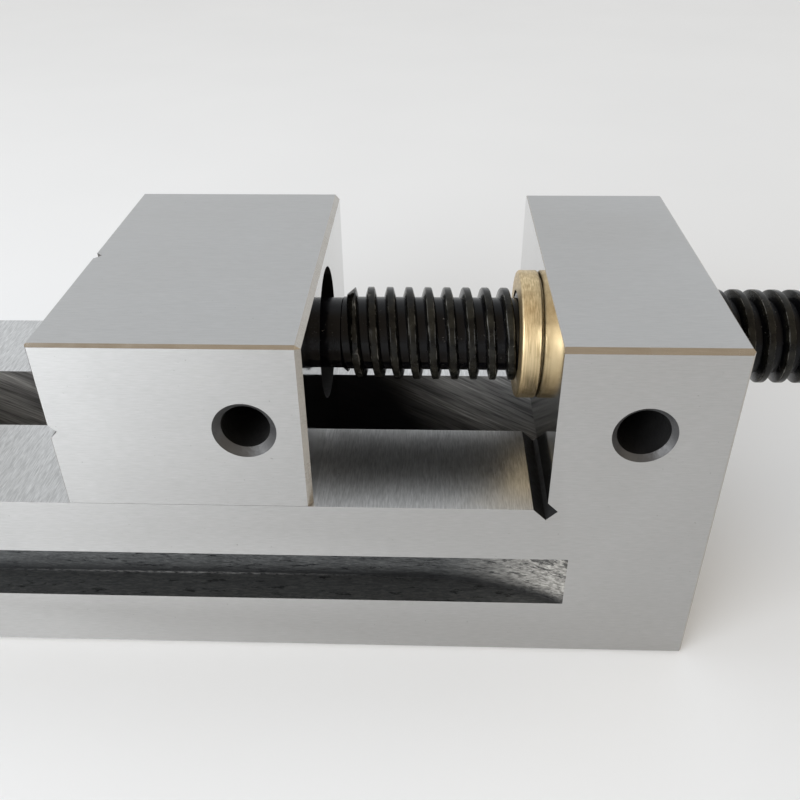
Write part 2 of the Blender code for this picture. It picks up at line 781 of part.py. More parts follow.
def first_crest_before(x):
    """Place where a crest of the lead screw crosses +Z, at least two pitches before x."""
    return THREAD_PHASE + THREAD_PITCH * (math.floor((x - THREAD_PHASE) / THREAD_PITCH) - 2)


def turns_to(first, end):
    """Whole turns of thread from first to at least two pitches past end."""
    return math.ceil((end - first) / THREAD_PITCH) + 2


def screw_core():
    """Nose with its groove, neck, core of the threaded length, and the spigot for the head."""
    groove_front = GROOVE_CENTRE - NOSE_GROOVE_WIDTH / 2
    groove_rear = GROOVE_CENTRE + NOSE_GROOVE_WIDTH / 2
    spigot_end = HEAD_START + HEAD_SPIGOT_LENGTH
    outline = [
        (0.0, spigot_end),
        (HEAD_SPIGOT_RADIUS, spigot_end),
        (HEAD_SPIGOT_RADIUS, HEAD_START - SLIDE_GAP),
        (NECK_RADIUS, HEAD_START - SLIDE_GAP),
        (NECK_RADIUS, groove_rear),
        (NOSE_GROOVE_RADIUS, groove_rear),
        (NOSE_GROOVE_RADIUS, groove_front),
        (NECK_RADIUS, groove_front),
        (NECK_RADIUS, NOSE_END + FACE_EDGE_CHAMFER),
        (NECK_RADIUS - FACE_EDGE_CHAMFER, NOSE_END),
        (0.0, NOSE_END),
    ]
    return turned("lead_screw", outline, axis_point(0.0), (1.0, 0.0, 0.0))


def thread_envelope():
    """Turned shape that the thread stays in, with a cone where the thread runs in."""
    buried = NECK_RADIUS - SLIDE_GAP
    full = THREAD_RADIUS + MARGIN
    run_in = THREAD_RUN_IN * (full - buried) / THREAD_DEPTH
    outline = [
        (0.0, THREAD_END),
        (full, THREAD_END),
        (full, THREAD_START + run_in),
        (buried, THREAD_START),
        (0.0, THREAD_START),
    ]
    return turned("thread_envelope", outline, axis_point(0.0), (1.0, 0.0, 0.0))


def make_lead_screw():
    first = first_crest_before(THREAD_START)
    turns = turns_to(first, THREAD_END)
    thread = helical_solid("thread", ROOT_RADIUS, THREAD_RADIUS, CREST_WIDTH, first, turns)
    boolean(thread, thread_envelope(), "INTERSECT")
    settle(thread)
    screw = screw_core()
    pin_end = HEAD_RADIUS + MARGIN
    pin_hole = rod(
        "spigot_pin_hole",
        head_pin_centre() - Vector((0.0, 0.0, pin_end)),
        head_pin_centre() + Vector((0.0, 0.0, pin_end)),
        HEAD_PIN_RADIUS + FIT_GAP,
        steps=SMALL_STEPS,
    )
    cut(screw, pin_hole)
    boolean(screw, thread, "UNION")
    return finish(screw, OXIDE_STEEL, smooth=True)


def make_lead_nut():
    """Flanged nut: the flange bears on the end block's inner face."""
    flange_face = BLOCK_FACE - SLIDE_GAP
    end = BLOCK_END - NUT_RECESS
    outline = [
        (0.0, end),
        (NUT_RADIUS - FLANGE_CHAMFER, end),
        (NUT_RADIUS, end - FLANGE_CHAMFER),
        (NUT_RADIUS, flange_face),
        (FLANGE_RADIUS - FLANGE_CHAMFER, flange_face),
        (FLANGE_RADIUS, flange_face - FLANGE_CHAMFER),
        (FLANGE_RADIUS, flange_face - FLANGE_THICKNESS + FLANGE_CHAMFER),
        (FLANGE_RADIUS - FLANGE_CHAMFER, flange_face - FLANGE_THICKNESS),
        (0.0, flange_face - FLANGE_THICKNESS),
    ]
    nut = turned("lead_nut", outline, axis_point(0.0), (1.0, 0.0, 0.0))
    first = first_crest_before(flange_face - FLANGE_THICKNESS)
    turns = turns_to(first, end)
    width = CREST_WIDTH + 2 * FLANK_GAP
    cut(nut, helical_solid("nut_tap", NUT_MINOR_RADIUS, NUT_MAJOR_RADIUS, width, first, turns))
    return finish(nut, BRASS, smooth=True)


def make_thrust_disc():
    radius = NOSE_BORE_RADIUS - FIT_GAP
    disc = rod("thrust_disc", axis_point(DISC_FRONT), axis_point(DISC_REAR), radius)
    return finish(disc, BRIGHT_STEEL, smooth=True)


# ---------------------------------------------------------------- head and tommy bar


def head_pin_centre():
    return axis_point(HEAD_START + HEAD_SPIGOT_LENGTH / 2)


def make_screw_head():
    """Collar pinned on the screw's spigot, with a cross hole for the tommy bar."""
    edge = HEAD_CHAMFER
    outline = [
        (0.0, HEAD_END),
        (HEAD_RADIUS - edge, HEAD_END),
        (HEAD_RADIUS, HEAD_END - edge),
        (HEAD_RADIUS, HEAD_START + edge),
        (HEAD_RADIUS - edge, HEAD_START),
        (0.0, HEAD_START),
    ]
    head = turned("screw_head", outline, axis_point(0.0), (1.0, 0.0, 0.0))
    reach = HEAD_RADIUS + MARGIN
    spigot_floor = HEAD_START + HEAD_SPIGOT_LENGTH + SLIDE_GAP
    across = Vector((0.0, reach, 0.0))
    up = Vector((0.0, 0.0, reach))
    cut(
        head,
        rod(
            "spigot_bore",
            axis_point(HEAD_START - MARGIN),
            axis_point(spigot_floor),
            HEAD_SPIGOT_RADIUS + FIT_GAP,
        ),
        rod(
            "head_pin_hole",
            head_pin_centre() - up,
            head_pin_centre() + up,
            HEAD_PIN_RADIUS + FIT_GAP,
            steps=SMALL_STEPS,
        ),
        rod(
            "bar_hole",
            axis_point(BAR_X) - across,
            axis_point(BAR_X) + across,
            BAR_RADIUS + FIT_GAP,
            steps=SMALL_STEPS,
        ),
    )
    return finish(head, OXIDE_STEEL, smooth=True)


def make_head_pin():
    half = Vector((0.0, 0.0, HEAD_RADIUS - HEAD_CHAMFER))
    centre = head_pin_centre()
    pin = rod("head_pin", centre - half, centre + half, HEAD_PIN_RADIUS, steps=SMALL_STEPS)
    return finish(pin, BRIGHT_STEEL, smooth=True)


def make_tommy_bar():
    shoulder = BAR_SPAN / 2 - KNOB_LENGTH
    tip = shoulder + BAR_SPIGOT_LENGTH
    outline = [
        (0.0, tip),
        (BAR_SPIGOT_RADIUS, tip),
        (BAR_SPIGOT_RADIUS, shoulder),
        (BAR_RADIUS, shoulder),
        (BAR_RADIUS, -shoulder),
        (BAR_SPIGOT_RADIUS, -shoulder),
        (BAR_SPIGOT_RADIUS, -tip),
        (0.0, -tip),
    ]
    bar = turned("tommy_bar", outline, axis_point(BAR_X), (0.0, 1.0, 0.0), SMALL_STEPS)
    return finish(bar, BRIGHT_STEEL, smooth=True)


def make_knob(name, side):
    """Round-edged knob screwed on the end of the tommy bar."""
    inner = BAR_SPAN / 2 - KNOB_LENGTH + SLIDE_GAP
    outer = BAR_SPAN / 2
    flat = KNOB_RADIUS - KNOB_ROUND
    outline = [(0.0, outer)]
    outline += reversed(arc((flat, outer - KNOB_ROUND), KNOB_ROUND, 0.0, 90.0, CORNER_STEPS))
    outline += reversed(arc((flat, inner + KNOB_ROUND), KNOB_ROUND, 270.0, 360.0, CORNER_STEPS))
    outline += [(0.0, inner)]
    direction = Vector((0.0, side, 0.0))
    centre = axis_point(BAR_X)
    knob = turned(name, outline, centre, direction, SMALL_STEPS)
    floor = inner + BAR_SPIGOT_LENGTH
    socket = rod(
        name + "_socket",
        centre + direction * (inner - MARGIN),
        centre + direction * floor,
        BAR_SPIGOT_RADIUS + FIT_GAP,
        steps=SMALL_STEPS,
    )
    cut(knob, socket)
    return finish(knob, OXIDE_STEEL, smooth=True)


# ---------------------------------------------------------------- the whole vise


def build():
    jaw_joint = joint_empty("jaw_joint", (OPENING, 0.0, BED_HEIGHT))
    screw_joint = joint_empty("screw_joint", axis_point(JAW_REAR))
    bar_joint = joint_empty("bar_joint", axis_point(BAR_X))
    make_body()
    make_lead_nut()
    make_nut_screws()
    with_jaw = [make_movable_jaw(), make_keeper_plate(), make_thrust_disc()]
    with_jaw += [*make_keeper_fixings(), *make_nose_screws()]
    with_screw = [make_lead_screw(), make_screw_head(), make_head_pin()]
    with_bar = [make_tommy_bar(), make_knob("bar_knob_near", -1.0), make_knob("bar_knob_far", 1.0)]
    for empty, pieces in ((jaw_joint, with_jaw), (screw_joint, with_screw), (bar_joint, with_bar)):
        for piece in pieces:
            hang_on(empty, piece)


clear_scene()
PIECES = new_collection("machine_vise")
CUTTERS = new_collection("cutters")
GROUND_STEEL = material("ground_steel", (0.62, 0.62, 0.61), 0.28, 1.0)
BRIGHT_STEEL = material("bright_steel", (0.66, 0.66, 0.65), 0.22, 1.0)
BLACK_STEEL = material("black_steel", (0.05, 0.05, 0.055), 0.42, 0.8)
OXIDE_STEEL = material("oxide_steel", (0.018, 0.018, 0.02), 0.26, 0.7)
BRASS = material("brass", (0.72, 0.53, 0.26), 0.30, 1.0)
build()
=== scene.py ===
"""Looks of the machine vise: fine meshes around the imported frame, ground and blackened steel, brass,
a pale studio floor, soft light and the camera. Metres, +Z up, +X along the lead screw."""
import math

import bmesh
import bpy
from mathutils import Matrix, Vector, noise


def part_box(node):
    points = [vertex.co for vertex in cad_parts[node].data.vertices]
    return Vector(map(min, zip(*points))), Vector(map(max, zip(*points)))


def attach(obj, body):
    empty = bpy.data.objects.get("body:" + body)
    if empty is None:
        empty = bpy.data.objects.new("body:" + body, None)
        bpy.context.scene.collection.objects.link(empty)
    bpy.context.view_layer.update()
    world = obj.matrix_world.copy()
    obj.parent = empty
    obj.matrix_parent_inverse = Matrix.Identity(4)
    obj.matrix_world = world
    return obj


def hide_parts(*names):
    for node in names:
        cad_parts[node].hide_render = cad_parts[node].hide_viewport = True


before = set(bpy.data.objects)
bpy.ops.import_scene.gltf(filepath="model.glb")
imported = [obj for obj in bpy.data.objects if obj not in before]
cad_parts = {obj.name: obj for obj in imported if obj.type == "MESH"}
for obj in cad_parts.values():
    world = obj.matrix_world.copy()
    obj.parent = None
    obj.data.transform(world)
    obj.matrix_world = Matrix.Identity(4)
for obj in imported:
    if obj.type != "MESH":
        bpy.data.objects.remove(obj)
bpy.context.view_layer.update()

# ---------------------------------------------------------------- sizes

BODY_LOW, BODY_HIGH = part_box("vise_body")
JAW_LOW, JAW_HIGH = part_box("movable_jaw")
SCREW_LOW, SCREW_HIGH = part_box("lead_screw")
NUT_LOW, NUT_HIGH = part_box("lead_nut")
HEAD_LOW, HEAD_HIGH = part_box("screw_head")
BAR_LOW, BAR_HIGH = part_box("tommy_bar")
KNOB_LOW, KNOB_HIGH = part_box("bar_knob_far")

HALF_WIDTH = BODY_HIGH.y
TOP = BODY_HIGH.z
BED_HEIGHT = 0.039
LEDGE_HEIGHT = JAW_LOW.z
END_BLOCK_LENGTH = 0.0315
BLOCK_FACE = BODY_HIGH.x - END_BLOCK_LENGTH
BLOCK_MIDDLE = (BLOCK_FACE + BODY_HIGH.x) / 2
AXIS = Vector((0.0, 0.0, (NUT_LOW.z + NUT_HIGH.z) / 2))
SLOT_HALF = 0.011
SLOT_OVERRUN = 0.005
SLOT_CEILING_DROP = 0.0003
POCKET_HALF = 0.020
POCKET_START = 0.007
POCKET_CORNER = 0.006

# Clearances, and how far a cutter reaches past what it cuts
SLIDE_GAP = 0.00025
FIT_GAP = 0.0003
SEAT_GAP = 0.00005
TAP_GAP = 0.0004
TAP_FLANK_GAP = 0.0005
MARGIN = 0.001

# Widths of the ground chamfers
TOP_EDGE = 0.0009
JAW_TOP_EDGE = 0.0006
REAR_EDGE = 0.0010
SMALL_EDGE = 0.0004
FACE_EDGE = 0.00015

# Relief slot in the corner between bed and upright face
RELIEF_WIDTH = 0.0030
RELIEF_DEPTH = 0.0020
RELIEF_SHIFT = 0.00045

# Clamp grooves along the sides
GROOVE_FLOOR = 0.0140
GROOVE_HEIGHT = 0.0123
GROOVE_DEPTH = 0.0068
GROOVE_RADIUS = 0.075
GROOVE_OVERRUN = 0.0052

VEE_DEPTH = 0.0015
VEE_HEIGHT = BED_HEIGHT + 0.0168

BORE_RADIUS = 0.0045
WORN_BORE = 0.0048
BORE_MOUTH = 0.00585
NOSE_BORE_TO_REAR = 0.0113
JAW_BORE_X = JAW_HIGH.x - NOSE_BORE_TO_REAR

# Lead screw; CREST_AT is where one crest crosses the top of the screw
THREAD_PITCH = 0.004
THREAD_RADIUS = SCREW_HIGH.z - AXIS.z
THREAD_DEPTH = 0.0021
ROOT_RADIUS = THREAD_RADIUS - THREAD_DEPTH
CREST_WIDTH = 0.00136
CREST_EDGE = 0.00018
FLANK_SLOPE = math.tan(math.radians(15.0))
CREST_AT = 0.00029
THREAD_END_GAP = 0.0030
THREAD_START = JAW_HIGH.x + THREAD_END_GAP
THREAD_END = HEAD_LOW.x - THREAD_END_GAP
RUN_IN = 0.0025
RUN_IN_SINK = 0.0003
BURR_FLOOR = ROOT_RADIUS + 0.0006
BURR_REACH = 2.6 * THREAD_PITCH
BURR_DEPTH = 0.00042
BURR_SHIFT = 0.00012
NECK_RADIUS = 0.0075
NOSE_GROOVE_RADIUS = 0.0052
NOSE_GROOVE_HALF = 0.0036
NOSE_CHAMFER = 0.0002
SPIGOT_RADIUS = 0.0070

# Bore in the jaw's rear face, and the nut
COUNTERBORE_RADIUS = 0.01405
COUNTERBORE_DEPTH = 0.0050
NUT_RADIUS = 0.0120
FLANGE_RADIUS = NUT_HIGH.y
FLANGE_THICKNESS = 0.0040
FLANGE_FRONT_EDGE = 0.00035
FLANGE_REAR_EDGE = 0.00025
NUT_EDGE = 0.0004
NUT_ROUND = 0.00012

# Head, tommy bar and knobs
HEAD_EDGE = 0.0015
HEAD_ROUND = 0.0003
PIN_HOLE_RADIUS = 0.0022
BAR_RADIUS = (BAR_HIGH.x - BAR_LOW.x) / 2
BAR_X = (BAR_LOW.x + BAR_HIGH.x) / 2
BAR_SPIGOT_RADIUS = 0.0027
BAR_SPIGOT_LENGTH = 0.0080
BAR_ROUND = 0.0002
KNOB_ROUND = 0.0020

# Mesh tolerances
WELD = 0.000001
SAME_PLACE = 0.000003

# ---------------------------------------------------------------- node helpers


def node(tree, kind, inputs=None, **settings):
    """Adds a shader node; an input given as a socket is linked, any other is set."""
    made = tree.nodes.new("ShaderNode" + kind)
    for key, value in settings.items():
        setattr(made, key, value)
    for key, value in (inputs or {}).items():
        if isinstance(value, bpy.types.NodeSocket):
            tree.links.new(value, made.inputs[key])
        else:
            made.inputs[key].default_value = value
    return made


def new_material(name, **values):
    """A Principled material; values are its sockets with spaces written as underscores."""
    made = bpy.data.materials.new(name)
    made.use_nodes = True
    shader = made.node_tree.nodes["Principled BSDF"]
    for key, value in values.items():
        shader.inputs[key.replace("_", " ")].default_value = value
    return made, made.node_tree, shader


def place(tree):
    """Position on the piece, in metres."""
    return node(tree, "TexCoord").outputs["Object"]


def math_node(tree, operation, *values):
    """Math node on numbers or sockets."""
    inputs = dict(enumerate(values))
    return node(tree, "Math", inputs, operation=operation).outputs[0]


def split(tree, vector, index):
    """X, Y or Z of a vector, for index 0, 1 or 2."""
    return node(tree, "SeparateXYZ", {0: vector}).outputs[index]


def from_axis(tree, vector):
    """Distance from the screw's axis."""
    moved = node(tree, "VectorMath", {0: vector, 1: tuple(AXIS)}, operation="SUBTRACT")
    flat = node(tree, "VectorMath", {0: moved.outputs[0], 1: (0.0, 1.0, 1.0)}, operation="MULTIPLY")
    return node(tree, "VectorMath", {0: flat.outputs[0]}, operation="LENGTH").outputs["Value"]


def grain(tree, vector, scale, detail=3.0, roughness=0.55):
    """Noise on a vector stretched by scale, as cycles per metre along X, Y and Z."""
    stretched = node(tree, "Mapping", {"Vector": vector, "Scale": scale})
    made = node(
        tree,
        "TexNoise",
        {"Vector": stretched.outputs[0], "Scale": 1.0, "Detail": detail, "Roughness": roughness},
    )
    return made.outputs["Fac"]


def turned_grain(tree, vector, axis, centre, along, out, around=6.0, detail=3.0):
    """Noise about an axis: along and out are cycles per metre, around per radius of a turn."""
    moved = node(tree, "VectorMath", {0: vector, 1: centre}, operation="SUBTRACT")
    parts = node(tree, "SeparateXYZ", {0: moved.outputs[0]}).outputs
    order = {"X": (0, 1, 2), "Y": (1, 2, 0)}[axis]
    length, first, second = (parts[i] for i in order)
    pair = node(tree, "CombineXYZ", {0: first, 1: second})
    radius = node(tree, "VectorMath", {0: pair.outputs[0]}, operation="LENGTH").outputs["Value"]
    angle = math_node(tree, "ARCTAN2", first, second)
    packed = node(tree, "CombineXYZ", {0: length, 1: radius, 2: math_node(tree, "SINE", angle)})
    return grain(tree, packed.outputs[0], (along, out, around), detail)


def spread(tree, value, low, high, to_low, to_high, kind="LINEAR"):
    """Maps value from low..high to to_low..to_high, held at the ends."""
    made = node(
        tree,
        "MapRange",
        {"Value": value, "From Min": low, "From Max": high, "To Min": to_low, "To Max": to_high},
        interpolation_type=kind,
    )
    return made.outputs["Result"]


def mix(tree, share, first, second, kind="MIX"):
    """Colour mix; first and second are colours or sockets."""
    made = node(tree, "Mix", {"Factor": share}, data_type="RGBA", blend_type=kind)
    for socket, value in ((made.inputs[6], first), (made.inputs[7], second)):
        if isinstance(value, bpy.types.NodeSocket):
            tree.links.new(value, socket)
        else:
            socket.default_value = (*value, 1.0)
    return made.outputs[2]


def bump(tree, shader, height, distance, strength=1.0):
    """Bump on the shader's normal, stacked on a bump that is there already."""
    made = node(tree, "Bump", {"Height": height, "Distance": distance, "Strength": strength})
    before = shader.inputs["Normal"].links
    if before:
        tree.links.new(before[0].from_socket, made.inputs["Normal"])
    tree.links.new(made.outputs["Normal"], shader.inputs["Normal"])


def drive(tree, shader, name, value):
    """Links a socket's value to a named input of the shader."""
    tree.links.new(value, shader.inputs[name])


# ---------------------------------------------------------------- materials

# Colours are linear red, green and blue. A noise value lies mostly between the two of NOISE_SPAN.
NOISE_SPAN = (0.3, 0.7)
SPECK = (0.14, 0.13, 0.12)
OIL_BLACK = (0.002, 0.002, 0.002)
ROOT_BLACK = (0.002, 0.002, 0.003)


def ground_steel(name, lay, tone=0.46, smooth=0.29, rough=0.38, contrast=0.065, relief=0.00000208):
    """Surface-ground steel: short fine lines along lay, soft bands, a clouded gloss, a few specks.

    tone is its grey and contrast the lines' share of it, smooth and rough the ends of its roughness,
    relief the depth of the lines in metres.
    """
    made, tree, shader = new_material(name, Metallic=1.0, Anisotropic=0.75)
    at = place(tree)
    along = Vector((1.0, 0.0, 0.0)) if lay == "X" else Vector((0.0, 1.0, 0.0))
    across = Vector((1.0, 1.0, 1.0)) - along
    lines = grain(tree, at, along * 420.0 + across * 4600.0, 3.0)
    bands = grain(tree, at, along * 30.0 + across * 1100.0, 3.0)
    cloud = grain(tree, at, (30.0, 30.0, 30.0), 3.0)
    specks = grain(tree, at, (1500.0, 1500.0, 1500.0), 1.0)
    light = tuple(tone * (1.0 + contrast) * share for share in (1.0, 1.0, 0.995))
    dark = tuple(tone * (1.0 - contrast) * share for share in (1.0, 1.0, 0.99))
    colour = mix(tree, spread(tree, lines, *NOISE_SPAN, 0.0, 1.0), dark, light)
    colour = mix(tree, spread(tree, bands, *NOISE_SPAN, 0.0, 0.25), colour, dark)
    colour = mix(tree, spread(tree, specks, 0.76, 0.82, 0.0, 0.35), colour, SPECK)
    drive(tree, shader, "Base Color", colour)
    varied = math_node(tree, "ADD", math_node(tree, "MULTIPLY", lines, 0.6), cloud)
    drive(tree, shader, "Roughness", spread(tree, varied, 0.5, 1.1, smooth, rough))
    drive(tree, shader, "Tangent", node(tree, "Tangent", direction_type="RADIAL", axis=lay).outputs[0])
    bump(tree, shader, lines, relief)
    return made


def lapped_steel():
    """Clamping faces, lapped to a mirror, with hair lines and dust."""
    made, tree, shader = new_material("lapped_steel", Metallic=1.0)
    at = place(tree)
    hairs = grain(tree, at, (2600.0, 110.0, 2600.0), 3.0)
    dust = grain(tree, at, (1700.0, 1700.0, 1700.0), 2.0)
    haze = grain(tree, at, (60.0, 60.0, 60.0), 3.0)
    colour = mix(tree, hairs, (0.57, 0.57, 0.57), (0.67, 0.67, 0.66))
    colour = mix(tree, spread(tree, dust, 0.74, 0.80, 0.0, 0.5), colour, (0.30, 0.29, 0.27))
    drive(tree, shader, "Base Color", colour)
    drive(tree, shader, "Roughness", spread(tree, haze, *NOISE_SPAN, 0.05, 0.13))
    bump(tree, shader, dust, 0.0000006)
    return made


def chamfer_steel():
    """Chamfers ground by hand: a little warmer and duller than the faces; the warmth adds a painted
    reflection of warm surroundings.
    """
    made, tree, shader = new_material("chamfer_steel", Metallic=1.0)
    at = place(tree)
    scratch = grain(tree, at, (160.0, 2400.0, 2400.0), 4.0)
    cloud = grain(tree, at, (240.0, 240.0, 240.0), 3.0)
    # Painted reflection: the warm tint stands in for warm surroundings seen in the chamfers.
    colour = mix(tree, scratch, (0.35, 0.325, 0.29), (0.48, 0.455, 0.415))
    drive(tree, shader, "Base Color", colour)
    drive(tree, shader, "Roughness", spread(tree, cloud, *NOISE_SPAN, 0.17, 0.30))
    bump(tree, shader, scratch, 0.000006)
    return made


def milled_steel():
    """Side grooves: dark stained steel, with painted shade on the floor and in the corner, a painted glint
    along the foot of the wall, and painted light where the cutter runs out.
    """
    # Distances from the middle of the groove's length
    lit_run_out = (0.0520, 0.0780)
    line_reach = 0.045
    # Heights over the groove's floor
    bright_line = (0.0003, 0.0006)
    shaded_corner = (0.0006, 0.0034)
    upper_wall = (0.0050, 0.0115)
    stain = (0.010, 0.011, 0.014)
    made, tree, shader = new_material("milled_steel", Metallic=0.7)
    at = place(tree)
    normal = node(tree, "TexCoord").outputs["Normal"]
    wall = spread(tree, math_node(tree, "ABSOLUTE", split(tree, normal, 2)), 0.4, 0.6, 1.0, 0.0)
    fine = grain(tree, at, (700.0, 3600.0, 3600.0), 4.0, 0.65)
    streaks = grain(tree, at, (160.0, 1500.0, 1500.0), 5.0, 0.62)
    blotch = grain(tree, at, (210.0, 650.0, 1150.0), 6.0, 0.74)
    diagonal = node(tree, "Mapping", {"Vector": at, "Rotation": (0.0, math.radians(12.0), 0.0)})
    marks = grain(tree, diagonal.outputs[0], (170.0, 2600.0, 2600.0), 4.0, 0.6)
    offset = math_node(tree, "ABSOLUTE", math_node(tree, "SUBTRACT", split(tree, at, 0), BLOCK_FACE / 2))
    # Painted light: the run-out at each end is drawn lighter, as if lit; its cutter marks are real.
    run_out_light = math_node(tree, "MULTIPLY", spread(tree, offset, *lit_run_out, 0.0, 1.0, "SMOOTHSTEP"), wall)
    height = math_node(tree, "SUBTRACT", split(tree, at, 2), GROOVE_FLOOR)
    # Painted shade: a dark band along the corner at the foot of the wall.
    corner = math_node(tree, "MULTIPLY", spread(tree, height, *shaded_corner, 0.85, 0.0), wall)
    upper = spread(tree, height, *upper_wall, 0.0, 0.08)
    stained = spread(tree, math_node(tree, "ADD", blotch, upper), 0.575, 0.625, 0.0, 0.92)
    glint = math_node(tree, "MULTIPLY", spread(tree, height, *bright_line, 1.0, 0.0), wall)
    glint = math_node(tree, "MULTIPLY", glint, spread(tree, offset, 0.0, line_reach, 0.4, 0.0))
    glint = math_node(tree, "MULTIPLY", glint, spread(tree, fine, 0.42, 0.55, 0.0, 1.0))
    dull = mix(tree, streaks, (0.030, 0.033, 0.037), (0.150, 0.156, 0.160))
    dull = mix(tree, spread(tree, fine, 0.45, 0.75, 0.0, 0.7), dull, (0.24, 0.25, 0.25))
    dull = mix(tree, stained, dull, stain)
    # Painted shade: the groove's floor is drawn darker than its wall.
    dull = mix(tree, spread(tree, wall, 0.0, 1.0, 0.30, 0.0), dull, (0.050, 0.052, 0.052))
    bright = mix(tree, spread(tree, marks, *NOISE_SPAN, 0.0, 1.0), (0.08, 0.077, 0.07), (0.56, 0.55, 0.52))
    bright = mix(tree, stained, bright, (0.05, 0.05, 0.05))
    colour = mix(tree, run_out_light, dull, bright)
    colour = mix(tree, corner, colour, (0.020, 0.021, 0.023))
    drive(tree, shader, "Base Color", mix(tree, glint, colour, (0.60, 0.60, 0.60)))
    drive(tree, shader, "Roughness", spread(tree, streaks, *NOISE_SPAN, 0.30, 0.55))
    bump(tree, shader, streaks, 0.00002)
    bump(tree, shader, blotch, 0.00006)
    return made


def slot_steel():
    """Walls of the slot and of the keeper pocket: slanting cutter marks, dark with painted shade in the
    middle, lighter with painted reflection towards both ends.
    """
    lean = -27.0
    # Places along X between which the painted shade passes into painted reflection
    reflection_right = (0.134, 0.154)
    reflection_left = (0.056, 0.075)
    made, tree, shader = new_material("slot_steel", Metallic=0.55)
    at = place(tree)
    tilted = node(tree, "Mapping", {"Vector": at, "Rotation": (0.0, math.radians(lean), 0.0)})
    marks = grain(tree, tilted.outputs[0], (110.0, 2200.0, 2600.0), 4.0, 0.6)
    broad = grain(tree, tilted.outputs[0], (20.0, 160.0, 260.0), 3.0)
    along = split(tree, at, 0)
    fall = math_node(tree, "MULTIPLY", split(tree, at, 2), 0.61)
    # Painted reflection towards the end block and the fixed jaw, painted shade between.
    right = spread(tree, math_node(tree, "ADD", along, fall), *reflection_right, 0.0, 1.0, "SMOOTHSTEP")
    left = spread(tree, along, *reflection_left, 0.8, 0.0, "SMOOTHSTEP")
    reflection_share = math_node(tree, "ADD", right, left)
    # Dark and light colours of the same cutter marks: painted shade and painted reflection.
    shade_colour = mix(tree, marks, (0.006, 0.006, 0.009), (0.030, 0.031, 0.036))
    clear = mix(tree, spread(tree, marks, *NOISE_SPAN, 0.0, 1.0), (0.26, 0.26, 0.26), (0.92, 0.92, 0.91))
    share = math_node(tree, "MULTIPLY", reflection_share, spread(tree, broad, 0.30, 0.62, 0.35, 1.0))
    drive(tree, shader, "Base Color", mix(tree, share, shade_colour, clear))
    drive(tree, shader, "Roughness", spread(tree, marks, *NOISE_SPAN, 0.30, 0.50))
    bump(tree, shader, marks, 0.00002)
    return made


def dark_steel(name, tone, shine):
    """Bores and relief slots: rough and dark. tone is its grey, shine its least roughness."""
    made, tree, shader = new_material(name, Metallic=0.4)
    at = place(tree)
    rough = grain(tree, at, (900.0, 900.0, 900.0), 5.0, 0.7)
    cloud = grain(tree, at, (260.0, 260.0, 260.0), 3.0)
    dark = tuple(tone * share for share in (0.5, 0.5, 0.55))
    light = tuple(tone * share for share in (1.6, 1.6, 1.6))
    drive(tree, shader, "Base Color", mix(tree, cloud, dark, light))
    drive(tree, shader, "Roughness", spread(tree, rough, *NOISE_SPAN, shine, shine + 0.25))
    bump(tree, shader, rough, 0.00008)
    return made


def black_oxide():
    """Oiled black oxide: blackest in the roots, dusty on the crests, with a painted highlight along their
    edges.
    """
    made, tree, shader = new_material("black_oxide", Metallic=0.0, Specular_IOR_Level=0.17)
    at = place(tree)
    radius = from_axis(tree, at)
    turning = turned_grain(tree, at, "X", tuple(AXIS), 2600.0, 900.0, 30.0, 4.0)
    dust = grain(tree, at, (1300.0, 1300.0, 1300.0), 4.0, 0.7)
    cloud = grain(tree, at, (330.0, 330.0, 330.0), 4.0, 0.65)
    top = spread(tree, radius, ROOT_RADIUS + 0.0002, THREAD_RADIUS - 0.0001, 0.0, 1.0)
    worn = mix(tree, spread(tree, cloud, 0.35, 0.65, 0.0, 1.0), OIL_BLACK, (0.015, 0.0145, 0.011))
    colour = mix(tree, top, ROOT_BLACK, worn)
    colour = mix(tree, spread(tree, dust, 0.66, 0.74, 0.0, 0.6), colour, (0.22, 0.21, 0.19))
    # Painted highlight: a thin light line round each crest edge, broken in patches.
    band = CREST_EDGE / 3
    low = spread(tree, radius, THREAD_RADIUS - 4 * band, THREAD_RADIUS - 3 * band, 0.0, 1.0)
    high = spread(tree, radius, THREAD_RADIUS - 2 * band, THREAD_RADIUS - band, 1.0, 0.0)
    wear_and_highlight = spread(tree, cloud, 0.48, 0.66, 0.0, 0.5)
    edge = math_node(tree, "MULTIPLY", math_node(tree, "MULTIPLY", low, high), wear_and_highlight)
    drive(tree, shader, "Base Color", mix(tree, edge, colour, (0.34, 0.335, 0.32)))
    drive(tree, shader, "Roughness", spread(tree, cloud, *NOISE_SPAN, 0.10, 0.30))
    bump(tree, shader, turning, 0.000006)
    bump(tree, shader, cloud, 0.00003)
    return made


def brass():
    """Turned brass, tarnished in patches, darker in patches towards the bottom of the flange."""
    made, tree, shader = new_material("brass", Metallic=1.0)
    at = place(tree)
    darkening_top = AXIS.z - 0.004
    turning = turned_grain(tree, at, "X", tuple(AXIS), 3600.0, 2600.0, 10.0, 4.0)
    stain = grain(tree, at, (260.0, 260.0, 260.0), 5.0, 0.65)
    pits = grain(tree, at, (1500.0, 1500.0, 1500.0), 2.0)
    lines = spread(tree, turning, *NOISE_SPAN, 0.0, 1.0)
    colour = mix(tree, lines, (0.45, 0.34, 0.185), (0.80, 0.65, 0.405))
    colour = mix(tree, spread(tree, stain, 0.50, 0.72, 0.0, 0.55), colour, (0.33, 0.24, 0.13))
    colour = mix(tree, spread(tree, pits, 0.70, 0.78, 0.0, 0.5), colour, (0.12, 0.08, 0.04))
    # Darker towards the bottom of the flange, in patches.
    low = spread(tree, split(tree, at, 2), NUT_LOW.z, darkening_top, 0.75, 0.0)
    low_darkening = math_node(tree, "MULTIPLY", low, spread(tree, stain, 0.40, 0.62, 0.0, 1.0))
    drive(tree, shader, "Base Color", mix(tree, low_darkening, colour, (0.16, 0.11, 0.06)))
    drive(tree, shader, "Roughness", spread(tree, stain, *NOISE_SPAN, 0.34, 0.50))
    bump(tree, shader, turning, 0.000005)
    return made


